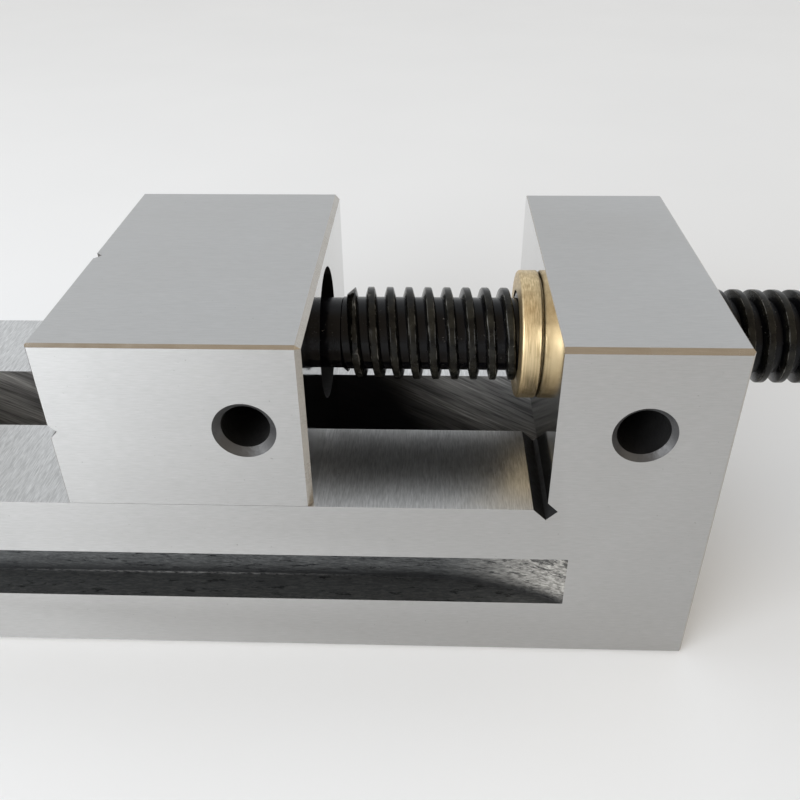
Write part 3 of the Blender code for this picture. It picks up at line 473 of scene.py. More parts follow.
def bright_steel(name, axis, centre):
    """Turned bright steel, its fine rings about the given axis."""
    made, tree, shader = new_material(name, Metallic=1.0)
    at = place(tree)
    rings = turned_grain(tree, at, axis, centre, 3000.0, 2600.0, 8.0, 4.0)
    cloud = grain(tree, at, (120.0, 120.0, 120.0), 4.0)
    colour = mix(tree, rings, (0.50, 0.50, 0.49), (0.68, 0.68, 0.67))
    colour = mix(tree, spread(tree, cloud, 0.55, 0.8, 0.0, 0.3), colour, (0.30, 0.28, 0.25))
    drive(tree, shader, "Base Color", colour)
    drive(tree, shader, "Roughness", spread(tree, cloud, *NOISE_SPAN, 0.16, 0.32))
    bump(tree, shader, rings, 0.000006)
    return made


def blackened_steel():
    """Keeper plate and fasteners: dull blackened steel with rubbed high spots."""
    made, tree, shader = new_material("blackened_steel", Metallic=0.5)
    at = place(tree)
    wear_and_highlight = grain(tree, at, (70.0, 900.0, 900.0), 4.0, 0.6)
    cloud = grain(tree, at, (140.0, 140.0, 140.0), 4.0)
    colour = mix(tree, cloud, (0.020, 0.020, 0.023), (0.055, 0.054, 0.055))
    colour = mix(tree, spread(tree, wear_and_highlight, 0.62, 0.74, 0.0, 0.5), colour, (0.16, 0.16, 0.16))
    drive(tree, shader, "Base Color", colour)
    drive(tree, shader, "Roughness", spread(tree, wear_and_highlight, *NOISE_SPAN, 0.34, 0.55))
    bump(tree, shader, wear_and_highlight, 0.00001)
    return made


# ---------------------------------------------------------------- mesh helpers


def add_object(name, mesh):
    """Puts a mesh in the scene."""
    made = bpy.data.objects.new(name, mesh)
    bpy.context.scene.collection.objects.link(made)
    return made


def prism(name, outline, axis, low, high, finish):
    """Solid between low and high along an axis, from an outline in the plane of the other two."""
    seats = {"Z": (0, 1, 2), "Y": (0, 2, 1), "X": (1, 2, 0)}[axis]
    shape = bmesh.new()
    corners = []
    for first, second in outline:
        point = [0.0, 0.0, 0.0]
        point[seats[0]] = first
        point[seats[1]] = second
        point[seats[2]] = low
        corners.append(shape.verts.new(point))
    floor = shape.faces.new(corners)
    raised = bmesh.ops.extrude_face_region(shape, geom=[floor])["geom"]
    shift = Vector((0.0, 0.0, 0.0))
    shift[seats[2]] = high - low
    moved = [item for item in raised if isinstance(item, bmesh.types.BMVert)]
    bmesh.ops.translate(shape, verts=moved, vec=shift)
    bmesh.ops.recalc_face_normals(shape, faces=shape.faces)
    mesh = bpy.data.meshes.new(name)
    shape.to_mesh(mesh)
    shape.free()
    mesh.materials.append(finish)
    return add_object(name, mesh)


def turned(name, outline, centre, direction, finish, steps=96):
    """Turned solid: outline points are (radius, height), from the top down to the foot."""
    mesh = bpy.data.meshes.new(name)
    points = [(radius, 0.0, height) for radius, height in outline]
    mesh.from_pydata(points, [(i, i + 1) for i in range(len(points) - 1)], [])
    made = add_object(name, mesh)
    screw = made.modifiers.new("turn", "SCREW")
    screw.steps = steps
    screw.render_steps = steps
    screw.use_merge_vertices = True
    screw.merge_threshold = 2 * WELD
    settle(made)
    turn = Vector(direction).to_track_quat("Z", "Y").to_matrix().to_4x4()
    made.data.transform(Matrix.Translation(centre) @ turn)
    made.data.materials.clear()
    made.data.materials.append(finish)
    return made


def settle(piece):
    """Replaces a piece's modifiers by the mesh that they make."""
    graph = bpy.context.evaluated_depsgraph_get()
    mesh = bpy.data.meshes.new_from_object(piece.evaluated_get(graph))
    piece.modifiers.clear()
    piece.data = mesh
    shape = bmesh.new()
    shape.from_mesh(mesh)
    bmesh.ops.remove_doubles(shape, verts=shape.verts, dist=WELD)
    bmesh.ops.dissolve_degenerate(shape, edges=shape.edges, dist=WELD)
    bmesh.ops.recalc_face_normals(shape, faces=shape.faces)
    shape.to_mesh(mesh)
    shape.free()
    return piece


def combine(piece, tools, operation):
    """Cuts with or joins the tools, whose surfaces keep their own finish."""
    for tool in tools:
        step = piece.modifiers.new(tool.name, "BOOLEAN")
        step.operation = operation
        step.object = tool
        step.material_mode = "TRANSFER"
    settle(piece)
    for tool in tools:
        bpy.data.objects.remove(tool, do_unlink=True)
    return piece


def bevel_edges(piece, width_of, segments=1, finish=None):
    """Bevels edges: width_of(middle, direction) gives an edge's width, or 0."""
    mesh = piece.data
    widths = []
    for edge in mesh.edges:
        start = mesh.vertices[edge.vertices[0]].co
        end = mesh.vertices[edge.vertices[1]].co
        widths.append(width_of((start + end) / 2, (end - start).normalized()))
    widest = max(widths)
    weights = mesh.attributes.new("bevel_weight_edge", "FLOAT", "EDGE")
    for slot, width in zip(weights.data, widths):
        slot.value = width / widest
    if finish:
        mesh.materials.append(finish)
    bevel = piece.modifiers.new("bevel", "BEVEL")
    bevel.limit_method = "WEIGHT"
    bevel.width = widest
    bevel.segments = segments
    bevel.material = len(mesh.materials) - 1 if finish else -1
    return settle(piece)


def shade(piece, angle=30.0):
    """Smooth shading, sharp at edges over an angle in degrees."""
    piece.data.shade_smooth()
    piece.data.set_sharp_from_angle(angle=math.radians(angle))
    return piece


def near(value, target):
    """Whether two places are the same within the mesh tolerance."""
    return abs(value - target) < SAME_PLACE


def arc(centre, radius, start_angle, end_angle, steps):
    """Points on an arc, angles in degrees from the first axis of the outline."""
    points = []
    for i in range(steps + 1):
        angle = math.radians(start_angle + (end_angle - start_angle) * i / steps)
        points.append((centre[0] + radius * math.cos(angle), centre[1] + radius * math.sin(angle)))
    return points


def rounded(outline, radius, steps=4):
    """Rounds the corners of a turned outline, apart from its two ends on the axis."""
    result = [outline[0]]
    for before, corner, after in zip(outline, outline[1:], outline[2:]):
        here = Vector(corner)
        back = Vector(before) - here
        ahead = Vector(after) - here
        reach = min(radius, back.length / 2.2, ahead.length / 2.2)
        start = here + back.normalized() * reach
        end = here + ahead.normalized() * reach
        for i in range(steps + 1):
            share = i / steps
            point = start * (1 - share) ** 2 + here * 2 * share * (1 - share) + end * share**2
            result.append(tuple(point))
    return result + [outline[-1]]


def on_axis(x):
    """Point on the screw's axis."""
    return Vector((x, 0.0, AXIS.z))


def cylinder(name, start, end, radius, finish, steps=96):
    """Round bar from start to end, mostly used as a cutter."""
    direction = Vector(end) - Vector(start)
    outline = [(0.0, direction.length), (radius, direction.length), (radius, 0.0), (0.0, 0.0)]
    return turned(name, outline, start, direction, finish, steps)


def cross_bore(name, x, radius=BORE_RADIUS):
    """Cutter for a bore across the vise, with a chamfered mouth each side."""
    step = BORE_MOUTH - radius
    outline = [
        (0.0, HALF_WIDTH + MARGIN),
        (BORE_MOUTH + MARGIN, HALF_WIDTH + MARGIN),
        (radius, HALF_WIDTH - step),
        (radius, step - HALF_WIDTH),
        (BORE_MOUTH + MARGIN, -HALF_WIDTH - MARGIN),
        (0.0, -HALF_WIDTH - MARGIN),
    ]
    return turned(name, outline, on_axis(x), (0.0, 1.0, 0.0), BORE_STEEL)


def mouth_ring(piece, x):
    """Gives the chamfer round each mouth of a cross bore its own finish."""
    piece.data.materials.append(MOUTH_STEEL)
    finish = len(piece.data.materials) - 1
    for face in piece.data.polygons:
        out = Vector((face.center.x - x, face.center.z - AXIS.z)).length
        slanted = 0.3 < abs(face.normal.y) < 0.9
        if BORE_RADIUS < out < BORE_MOUTH and slanted:
            face.material_index = finish


# ---------------------------------------------------------------- body


def steel_zones(piece, zone_of):
    """Gives each face the ground finish that zone_of(centre, normal) names."""
    for finish in (RAIL_STEEL, LAPPED_STEEL):
        piece.data.materials.append(finish)
    finishes = list(piece.data.materials)
    for face in piece.data.polygons:
        if finishes[face.material_index] != CHAMFER_STEEL:
            face.material_index = finishes.index(zone_of(face.center, face.normal))


def body_blank():
    """Body without its grooves, slots and bores, with its edges chamfered."""
    low, high = BODY_LOW, BODY_HIGH
    outline = [
        (low.x, 0.0),
        (high.x, 0.0),
        (high.x, TOP),
        (BLOCK_FACE, TOP),
        (BLOCK_FACE, BED_HEIGHT),
        (0.0, BED_HEIGHT),
        (0.0, TOP),
        (low.x, TOP),
    ]
    blank = prism("vise_body_fine", outline, "Y", -HALF_WIDTH, HALF_WIDTH, SIDE_STEEL)

    def width_of(middle, direction):
        on_face = near(middle.x, 0.0) or near(middle.x, BLOCK_FACE)
        if near(middle.z, BED_HEIGHT) or on_face:
            return 0.0
        if abs(direction.x) > 0.5 and near(middle.z, TOP):
            return TOP_EDGE
        return SMALL_EDGE

    bevel_edges(blank, width_of, finish=CHAMFER_STEEL)

    def zone_of(centre, normal):
        if abs(normal.x) > 0.9:
            return LAPPED_STEEL
        if near(centre.z, BED_HEIGHT) and normal.z > 0.9:
            return RAIL_STEEL
        return SIDE_STEEL

    steel_zones(blank, zone_of)
    return blank


def face_edge_cutter(name, face_x, inward):
    """Chamfer along the top edge of an upright face; inward is -1 or +1 along X, into the block."""
    outline = [
        (face_x + inward * (FACE_EDGE + MARGIN), TOP + MARGIN),
        (face_x - inward * MARGIN, TOP - FACE_EDGE - MARGIN),
        (face_x - inward * MARGIN, TOP + MARGIN),
    ]
    return prism(name, outline, "Y", -HALF_WIDTH - MARGIN, HALF_WIDTH + MARGIN, CHAMFER_STEEL)


def relief_cutter(name, corner_x, outward):
    """Square-ended slot at 45 degrees into the corner at corner_x; outward is -1 or +1 along X."""
    into = Vector((outward, -1.0)).normalized()
    across = Vector((-into.y, into.x)) * RELIEF_WIDTH / 2
    mouth = Vector((corner_x - outward * RELIEF_SHIFT, BED_HEIGHT))
    floor = mouth + into * RELIEF_DEPTH
    back = mouth - into * RELIEF_WIDTH
    outline = [floor - across, floor + across, back + across, back - across]
    reach = HALF_WIDTH + MARGIN
    return prism(name, [tuple(p) for p in outline], "Y", -reach, reach, RELIEF_STEEL)


def groove_cutter(name, side):
    """Side groove whose depth runs out on the cutter's arc at both ends."""
    reach = math.sqrt(GROOVE_RADIUS**2 - (GROOVE_RADIUS - GROOVE_DEPTH) ** 2)
    sweep = math.degrees(math.asin(reach / GROOVE_RADIUS))
    left = -GROOVE_OVERRUN + reach
    right = BLOCK_FACE + GROOVE_OVERRUN - reach
    centre_y = HALF_WIDTH - GROOVE_DEPTH + GROOVE_RADIUS
    outline = arc((left, centre_y), GROOVE_RADIUS, 270.0 - sweep, 270.0, 40)
    outline += arc((right, centre_y), GROOVE_RADIUS, 270.0, 270.0 + sweep, 40)
    outline += [(right + reach, HALF_WIDTH + MARGIN), (left - reach, HALF_WIDTH + MARGIN)]
    outline = [(x, side * y) for x, y in outline]
    return prism(name, outline, "Z", GROOVE_FLOOR, GROOVE_FLOOR + GROOVE_HEIGHT, MILLED_STEEL)


def slot_cutter():
    """Slot between the rails; it runs on a little under the fixed jaw and the end block."""
    ceiling = BED_HEIGHT - SLOT_CEILING_DROP
    outline = [
        (-SLOT_OVERRUN, LEDGE_HEIGHT - MARGIN),
        (BLOCK_FACE + SLOT_OVERRUN, LEDGE_HEIGHT - MARGIN),
        (BLOCK_FACE + SLOT_OVERRUN, ceiling),
        (BLOCK_FACE - MARGIN, ceiling),
        (BLOCK_FACE - MARGIN, TOP),
        (MARGIN, TOP),
        (MARGIN, ceiling),
        (-SLOT_OVERRUN, ceiling),
    ]
    return prism("rail_slot", outline, "Y", -SLOT_HALF, SLOT_HALF, SLOT_STEEL)


def pocket_cutter():
    """Pocket with round corners, open at the bottom, in which the keeper plate travels."""
    left = POCKET_START + POCKET_CORNER
    right = BLOCK_FACE - POCKET_CORNER
    side = POCKET_HALF - POCKET_CORNER
    outline = arc((left, -side), POCKET_CORNER, 180.0, 270.0, 12)
    outline += arc((right, -side), POCKET_CORNER, 270.0, 360.0, 12)
    outline += arc((right, side), POCKET_CORNER, 0.0, 90.0, 12)
    outline += arc((left, side), POCKET_CORNER, 90.0, 180.0, 12)
    return prism("keeper_pocket", outline, "Z", -MARGIN, LEDGE_HEIGHT, SLOT_STEEL)


def make_body():
    """Fixed jaw, bed and end block in one piece."""
    body = body_blank()
    bore_start = on_axis(BLOCK_FACE - MARGIN)
    bore_end = on_axis(BODY_HIGH.x + MARGIN)
    nut_bore = cylinder("nut_bore", bore_start, bore_end, NUT_RADIUS + SLIDE_GAP, BORE_STEEL)
    cutters = [
        face_edge_cutter("fixed_jaw_face_edge", 0.0, -1.0),
        face_edge_cutter("end_block_face_edge", BLOCK_FACE, 1.0),
        relief_cutter("relief_at_fixed_jaw", 0.0, -1.0),
        relief_cutter("relief_at_end_block", BLOCK_FACE, 1.0),
        slot_cutter(),
        pocket_cutter(),
        groove_cutter("near_groove", -1.0),
        groove_cutter("far_groove", 1.0),
        nut_bore,
        cross_bore("end_block_bore", BLOCK_MIDDLE, WORN_BORE),
    ]
    combine(body, cutters, "DIFFERENCE")
    mouth_ring(body, BLOCK_MIDDLE)
    shade(body)
    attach(body, "body")
    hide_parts("vise_body")


# ---------------------------------------------------------------- movable jaw


def jaw_blank():
    """Jaw block on the rails with its tongue in the slot between them."""
    seat = BED_HEIGHT + SEAT_GAP
    tongue = SLOT_HALF - SLIDE_GAP
    outline = [
        (-tongue, LEDGE_HEIGHT),
        (tongue, LEDGE_HEIGHT),
        (tongue, seat),
        (HALF_WIDTH, seat),
        (HALF_WIDTH, TOP),
        (-HALF_WIDTH, TOP),
        (-HALF_WIDTH, seat),
        (-tongue, seat),
    ]
    blank = prism("movable_jaw_fine", outline, "X", JAW_LOW.x, JAW_HIGH.x, SIDE_STEEL)

    def width_of(middle, direction):
        if middle.z < seat + MARGIN:
            return 0.0
        if near(middle.x, JAW_HIGH.x):
            return REAR_EDGE
        if near(middle.x, JAW_LOW.x):
            return FACE_EDGE
        return JAW_TOP_EDGE if near(middle.z, TOP) else 0.0

    bevel_edges(blank, width_of, finish=CHAMFER_STEEL)
    steel_zones(blank, lambda centre, normal: LAPPED_STEEL if abs(normal.x) > 0.9 else SIDE_STEEL)
    return blank


def vee_cutters():
    """Two vees for round work, one across the clamping face and one up its middle."""
    tip = JAW_LOW.x + VEE_DEPTH
    back = JAW_LOW.x - MARGIN
    half = VEE_DEPTH + MARGIN
    across = [(back, VEE_HEIGHT - half), (tip, VEE_HEIGHT), (back, VEE_HEIGHT + half)]
    upright = [(back, -half), (tip, 0.0), (back, half)]
    reach = HALF_WIDTH + MARGIN
    return [
        prism("level_vee", across, "Y", -reach, reach, SIDE_STEEL),
        prism("upright_vee", upright, "Z", LEDGE_HEIGHT - MARGIN, TOP + MARGIN, SIDE_STEEL),
    ]


def jaw_bores():
    """Stepped bore from the rear face: the nut's flange enters it, the screw's nose seats in it."""
    disc_low, disc_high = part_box("thrust_disc")
    floor = disc_low.x - SLIDE_GAP
    mouth = JAW_HIGH.x + MARGIN - floor
    step = JAW_HIGH.x - COUNTERBORE_DEPTH - floor
    narrow = disc_high.y + FIT_GAP
    outline = [
        (0.0, mouth),
        (COUNTERBORE_RADIUS, mouth),
        (COUNTERBORE_RADIUS, step),
        (narrow, step),
        (narrow, 0.0),
        (0.0, 0.0),
    ]
    stepped = turned("nose_bore", outline, on_axis(floor), (1.0, 0.0, 0.0), BORE_STEEL)
    return [stepped, cross_bore("jaw_cross_bore", JAW_BORE_X)]


def make_jaw():
    """Movable jaw with its vees and bores."""
    jaw = jaw_blank()
    combine(jaw, vee_cutters() + jaw_bores(), "DIFFERENCE")
    mouth_ring(jaw, JAW_BORE_X)
    shade(jaw)
    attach(jaw, "jaw")
    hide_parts("movable_jaw")


# ---------------------------------------------------------------- screw and nut


def helix(name, root, crest, width, first, turns, steps, finish):
    """Right-handed threaded solid about the screw axis, with a crest crossing its top at first.

    The section is one pitch long, its crest softened at both edges. Each end closes in a point.
    """
    half = width / 2
    base = half + (crest - root) * FLANK_SLOPE
    soft = CREST_EDGE
    section = [
        (-base, root),
        (-half - soft * FLANK_SLOPE, crest - soft),
        (-half + soft * 0.5, crest - soft * 0.15),
        (-half + soft * 1.5, crest),
        (half - soft * 1.5, crest),
        (half - soft * 0.5, crest - soft * 0.15),
        (half + soft * FLANK_SLOPE, crest - soft),
        (base, root),
        (THREAD_PITCH - base, root),
    ]
    shape = bmesh.new()
    rows = []
    for step in range(turns * steps + 1):
        angle = 2 * math.pi * step / steps
        shift = first + THREAD_PITCH * step / steps
        along = Vector((0.0, -math.sin(angle), math.cos(angle)))
        rows.append([shape.verts.new(on_axis(x + shift) + along * r) for x, r in section])
    for before, after in zip(rows, rows[1:]):
        for i in range(len(section) - 1):
            shape.faces.new((before[i], before[i + 1], after[i + 1], after[i]))
    bmesh.ops.remove_doubles(shape, verts=shape.verts, dist=WELD)
    for tip_x in (first - THREAD_PITCH, first + THREAD_PITCH * (turns + 1)):
        open_edges = [edge for edge in shape.edges if edge.is_boundary]
        rim = [edge for edge in open_edges if abs(edge.verts[0].co.x - tip_x) < 3 * THREAD_PITCH]
        sides = bmesh.ops.extrude_edge_only(shape, edges=rim)["geom"]
        tip = [v for v in sides if isinstance(v, bmesh.types.BMVert)]
        bmesh.ops.pointmerge(shape, verts=tip, merge_co=on_axis(tip_x))
    bmesh.ops.recalc_face_normals(shape, faces=shape.faces)
    mesh = bpy.data.meshes.new(name)
    shape.to_mesh(mesh)
    shape.free()
    mesh.materials.append(finish)
    return add_object(name, mesh)


def crest_before(x):
    """Place of a crest two to three pitches before x."""
    return CREST_AT + THREAD_PITCH * (math.floor((x - CREST_AT) / THREAD_PITCH) - 2)


def turns_to(first, end):
    """Turns that carry a thread from first past end."""
    return math.ceil((end - first) / THREAD_PITCH) + 2


def thread_envelope():
    """Turned shape that the thread stays in, with a cone where the thread runs in."""
    buried = NECK_RADIUS - RUN_IN_SINK
    full = THREAD_RADIUS + MARGIN
    run_in = RUN_IN * (full - buried) / THREAD_DEPTH
    outline = [
        (0.0, THREAD_END - THREAD_START),
        (full, THREAD_END - THREAD_START),
        (full, run_in),
        (buried, 0.0),
        (0.0, 0.0),
    ]
    return turned("envelope", outline, on_axis(THREAD_START), (1.0, 0.0, 0.0), BLACK_OXIDE)


def screw_core():
    """Nose with its groove, neck, core of the thread and the neck to the head."""
    foot = SCREW_LOW.x
    groove = JAW_BORE_X - foot
    shoulder = HEAD_LOW.x - SLIDE_GAP - foot
    points = [
        (0.0, SCREW_HIGH.x - foot),
        (SPIGOT_RADIUS, SCREW_HIGH.x - foot),
        (SPIGOT_RADIUS, shoulder),
        (NECK_RADIUS, shoulder),
        (NECK_RADIUS, groove + NOSE_GROOVE_HALF),
        (NOSE_GROOVE_RADIUS, groove + NOSE_GROOVE_HALF),
        (NOSE_GROOVE_RADIUS, groove - NOSE_GROOVE_HALF),
        (NECK_RADIUS, groove - NOSE_GROOVE_HALF),
        (NECK_RADIUS, NOSE_CHAMFER),
        (NECK_RADIUS - NOSE_CHAMFER, 0.0),
        (0.0, 0.0),
    ]
    return turned("lead_screw_fine", points, on_axis(foot), (1.0, 0.0, 0.0), BLACK_OXIDE, 128)


def roughen_start(thread):
    """Burrs on the first turns, where the die tore the crest; they stay inside the full thread."""
    for vertex in thread.data.vertices:
        point = vertex.co
        fade = 1.0 - (point.x - THREAD_START) / BURR_REACH
        out = Vector((0.0, point.y, point.z - AXIS.z))
        if fade <= 0.0 or out.length < BURR_FLOOR:
            continue
        bite = noise.noise(point * 900.0) + 0.5 * noise.noise(point * 2300.0)
        depth = min(0.0, bite * BURR_DEPTH * fade)
        vertex.co = point + out.normalized() * depth + Vector((bite * BURR_SHIFT * fade, 0.0, 0.0))


def make_screw():
    """Lead screw with its thread."""
    first = crest_before(THREAD_START)
    turns = turns_to(first, THREAD_END)
    thread = helix("thread", ROOT_RADIUS, THREAD_RADIUS, CREST_WIDTH, first, turns, 72, BLACK_OXIDE)
    combine(thread, [thread_envelope()], "INTERSECT")
    roughen_start(thread)
    screw = screw_core()
    combine(screw, [thread], "UNION")
    shade(screw, 40.0)
    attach(screw, "screw")
    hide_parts("lead_screw")


def make_nut():
    """Flanged brass nut with its thread."""
    front = NUT_LOW.x
    length = NUT_HIGH.x - front
    points = [
        (0.0, length),
        (NUT_RADIUS - NUT_EDGE, length),
        (NUT_RADIUS, length - NUT_EDGE),
        (NUT_RADIUS, FLANGE_THICKNESS),
        (FLANGE_RADIUS - FLANGE_REAR_EDGE, FLANGE_THICKNESS),
        (FLANGE_RADIUS, FLANGE_THICKNESS - FLANGE_REAR_EDGE),
        (FLANGE_RADIUS, FLANGE_FRONT_EDGE),
        (FLANGE_RADIUS - FLANGE_FRONT_EDGE, 0.0),
        (0.0, 0.0),
    ]
    outline = rounded(points, NUT_ROUND, 2)
    nut = turned("lead_nut_fine", outline, on_axis(front), (1.0, 0.0, 0.0), BRASS, 160)
    first = crest_before(front)
    turns = turns_to(first, NUT_HIGH.x)
    width = CREST_WIDTH + TAP_FLANK_GAP
    tap = helix("tap", ROOT_RADIUS + TAP_GAP, THREAD_RADIUS + TAP_GAP, width, first, turns, 48, BRASS)
    combine(nut, [tap], "DIFFERENCE")
    shade(nut, 35.0)
    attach(nut, "body")
    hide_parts("lead_nut")


# ---------------------------------------------------------------- head, bar and knobs


def make_head():
    """Collar pinned on the screw, with a cross hole for the tommy bar."""
    pin_low, pin_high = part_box("head_pin")
    pin_x = (pin_low.x + pin_high.x) / 2
    radius = HEAD_HIGH.y
    length = HEAD_HIGH.x - HEAD_LOW.x
    points = [
        (0.0, length),
        (radius - HEAD_EDGE, length),
        (radius, length - HEAD_EDGE),
        (radius, HEAD_EDGE),
        (radius - HEAD_EDGE, 0.0),
        (0.0, 0.0),
    ]
    outline = rounded(points, HEAD_ROUND)
    head = turned("screw_head_fine", outline, on_axis(HEAD_LOW.x), (1.0, 0.0, 0.0), BLACK_OXIDE, 128)
    bore_start = on_axis(HEAD_LOW.x - MARGIN)
    bore_end = on_axis(SCREW_HIGH.x + FIT_GAP)
    across = Vector((0.0, radius + MARGIN, 0.0))
    up = Vector((0.0, 0.0, radius + MARGIN))
    pin_at = on_axis(pin_x)
    bar_at = on_axis(BAR_X)
    cutters = [
        cylinder("spigot_bore", bore_start, bore_end, SPIGOT_RADIUS + FIT_GAP, BORE_STEEL),
        cylinder("pin_hole", pin_at - up, pin_at + up, PIN_HOLE_RADIUS, BORE_STEEL, 48),
        cylinder("bar_hole", bar_at - across, bar_at + across, BAR_RADIUS + FIT_GAP, BORE_STEEL, 64),
    ]
    combine(head, cutters, "DIFFERENCE")
    shade(head, 35.0)
    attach(head, "screw")
    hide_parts("screw_head")


def make_bar():
    """Tommy bar with a spigot for a knob at each end."""
    shoulder = BAR_HIGH.y - BAR_SPIGOT_LENGTH
    points = [
        (0.0, 2 * shoulder + BAR_SPIGOT_LENGTH),
        (BAR_SPIGOT_RADIUS, 2 * shoulder + BAR_SPIGOT_LENGTH),
        (BAR_SPIGOT_RADIUS, 2 * shoulder),
        (BAR_RADIUS, 2 * shoulder),
        (BAR_RADIUS, 0.0),
        (BAR_SPIGOT_RADIUS, 0.0),
        (BAR_SPIGOT_RADIUS, -BAR_SPIGOT_LENGTH),
        (0.0, -BAR_SPIGOT_LENGTH),
    ]
    start = on_axis(BAR_X) + Vector((0.0, -shoulder, 0.0))
    bar = turned("tommy_bar_fine", rounded(points, BAR_ROUND), start, (0.0, 1.0, 0.0), BAR_STEEL, 64)
    shade(bar, 35.0)
    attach(bar, "bar")
    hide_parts("tommy_bar")


def make_knob(name, cad_name, side):
    """Round-edged knob on the end of the tommy bar."""
    low, high = KNOB_LOW.y, KNOB_HIGH.y
    radius = (KNOB_HIGH.z - KNOB_LOW.z) / 2
    flat = radius - KNOB_ROUND
    outline = [(0.0, high)]
    outline += reversed(arc((flat, high - KNOB_ROUND), KNOB_ROUND, 0.0, 90.0, 12))
    outline += reversed(arc((flat, low + KNOB_ROUND), KNOB_ROUND, 270.0, 360.0, 12))
    outline += [(0.0, low)]
    direction = Vector((0.0, side, 0.0))
    knob = turned(name, outline, on_axis(BAR_X), direction, BLACK_OXIDE, 96)
    start = on_axis(BAR_X) + direction * (low - MARGIN)
    end = on_axis(BAR_X) + direction * (low + BAR_SPIGOT_LENGTH)
    socket = cylinder(name + "_socket", start, end, BAR_SPIGOT_RADIUS + FIT_GAP, BORE_STEEL, 48)
    combine(knob, [socket], "DIFFERENCE")
    shade(knob, 40.0)
    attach(knob, "bar")
    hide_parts(cad_name)


def dress_small_parts():
    """Better finishes on the CAD solids that stay as they are."""
    for name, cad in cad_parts.items():
        finish = None
        if name.startswith(("keeper_plate", "keeper_screw", "nose_screw", "nut_screw")):
            finish = BLACKENED_STEEL
        elif name.startswith(("keeper_dowel", "thrust_disc", "head_pin")):
            finish = PIN_STEEL
        if finish:
            for slot in cad.material_slots:
                slot.material = finish


# ---------------------------------------------------------------- studio

CAMERA_PLACE = (0.12439, -0.15989, 0.14558)
CAMERA_ANGLES = (56.409, 0.518, 1.946)
CAMERA_LENS = 38.42
CAMERA_SENSOR = 36.0
CAMERA_NEAREST = 0.005

FLOOR_HALF = 12.0
FLOOR_HEIGHT = -0.00005
FLOOR_DARK = (0.795, 0.825, 0.865)
FLOOR_LIGHT = (0.835, 0.865, 0.905)

KEY_PLACE = (-0.50, -0.70, 0.34)
KEY_TARGET = (0.06, 0.0, 0.03)
KEY_SIZE = (0.8, 0.55)
KEY_POWER = 9.7
KEY_COLOUR = (0.95, 0.975, 1.0)

# Surroundings by direction; a spread gives the cosines between which one tint passes into the next
WORLD_STRENGTH = 1.02
SKY_COLOUR = (0.905, 0.93, 0.955)
WARM_SIDE = (1.0, -0.15, 0.10)
WARM_SPREAD = (0.3, 0.95)
WARM_COLOUR = (0.80, 0.68, 0.52)
ROOM_SIDE = tuple(Vector((0.15, -0.62, 0.77)).normalized())
ROOM_SPREAD = (0.45, 0.93)
ROOM_COLOUR = (0.64, 0.545, 0.43)


def make_camera():
    """Camera in front of the vise's near side, a little above it."""
    data = bpy.data.cameras.new("camera")
    data.lens = CAMERA_LENS
    data.sensor_width = CAMERA_SENSOR
    data.clip_start = CAMERA_NEAREST
    camera = bpy.data.objects.new("camera", data)
    camera.location = CAMERA_PLACE
    camera.rotation_euler = [math.radians(angle) for angle in CAMERA_ANGLES]
    bpy.context.scene.collection.objects.link(camera)
    bpy.context.scene.camera = camera


def make_floor():
    """Pale matt floor just under the vise."""
    made, tree, shader = new_material("floor", Roughness=0.55)
    at = place(tree)
    tint = grain(tree, at, (9.0, 9.0, 9.0), 2.0)
    drive(tree, shader, "Base Color", mix(tree, tint, FLOOR_DARK, FLOOR_LIGHT))
    shape = bmesh.new()
    bmesh.ops.create_grid(shape, x_segments=1, y_segments=1, size=FLOOR_HALF)
    bmesh.ops.translate(shape, verts=shape.verts, vec=(0.0, 0.0, FLOOR_HEIGHT))
    mesh = bpy.data.meshes.new("floor")
    shape.to_mesh(mesh)
    shape.free()
    mesh.materials.append(made)
    floor = add_object("floor", mesh)


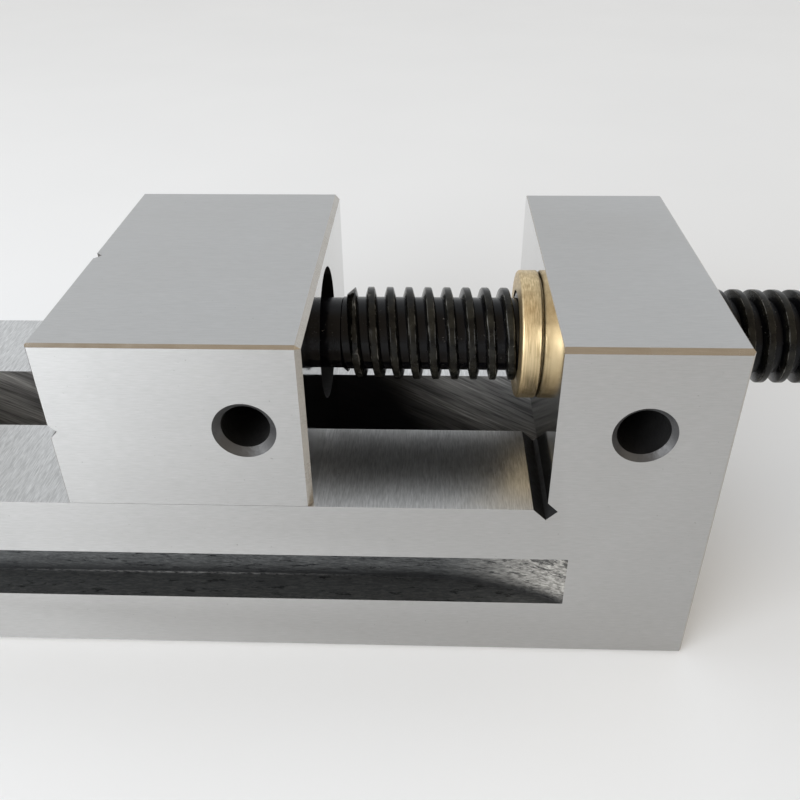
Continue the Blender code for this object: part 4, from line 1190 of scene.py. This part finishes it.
def make_key():
    """Soft cool light, low at the front left."""
    data = bpy.data.lights.new("key", "AREA")
    data.shape = "RECTANGLE"
    data.size, data.size_y = KEY_SIZE
    data.energy = KEY_POWER
    data.color = KEY_COLOUR
    light = bpy.data.objects.new("key", data)
    light.location = KEY_PLACE
    aim = Vector(KEY_TARGET) - Vector(KEY_PLACE)
    light.rotation_mode = "QUATERNION"
    light.rotation_quaternion = aim.to_track_quat("-Z", "Y")
    bpy.context.scene.collection.objects.link(light)


def make_world():
    """Pale surroundings, warmer at the right, warm and dim high up at the front."""
    world = bpy.data.worlds.new("studio")
    world.use_nodes = True
    tree = world.node_tree
    direction = node(tree, "TexCoord").outputs["Generated"]
    towards = node(tree, "VectorMath", {0: direction, 1: ROOM_SIDE}, operation="DOT_PRODUCT")
    room = spread(tree, towards.outputs["Value"], *ROOM_SPREAD, 0.0, 1.0, "SMOOTHSTEP")
    aside = node(tree, "VectorMath", {0: direction, 1: WARM_SIDE}, operation="DOT_PRODUCT")
    warm = spread(tree, aside.outputs["Value"], *WARM_SPREAD, 0.0, 1.0, "SMOOTHSTEP")
    sky = mix(tree, warm, SKY_COLOUR, WARM_COLOUR)
    back = tree.nodes["Background"]
    tree.links.new(mix(tree, room, sky, ROOM_COLOUR), back.inputs["Color"])
    back.inputs["Strength"].default_value = WORLD_STRENGTH
    bpy.context.scene.world = world


# ---------------------------------------------------------------- the whole scene

SIDE_STEEL = ground_steel("side_steel", "X")
RAIL_STEEL = ground_steel("rail_steel", "Y", 0.60, 0.32, 0.42, 0.24, 0.0000048)
LAPPED_STEEL = lapped_steel()
CHAMFER_STEEL = chamfer_steel()
MILLED_STEEL = milled_steel()
SLOT_STEEL = slot_steel()
RELIEF_STEEL = dark_steel("relief_steel", 0.020, 0.45)
BORE_STEEL = dark_steel("bore_steel", 0.016, 0.35)
MOUTH_STEEL = dark_steel("mouth_steel", 0.055, 0.30)
BLACK_OXIDE = black_oxide()
BRASS = brass()
BAR_STEEL = bright_steel("bar_steel", "Y", tuple(on_axis(BAR_X)))
PIN_STEEL = bright_steel("pin_steel", "X", tuple(AXIS))
BLACKENED_STEEL = blackened_steel()

make_body()
make_jaw()
make_screw()
make_nut()
make_head()
make_bar()
make_knob("bar_knob_far_fine", "bar_knob_far", 1.0)
make_knob("bar_knob_near_fine", "bar_knob_near", -1.0)
dress_small_parts()
make_floor()
make_world()
make_key()
make_camera()
bpy.context.scene.view_settings.view_transform = "Standard"
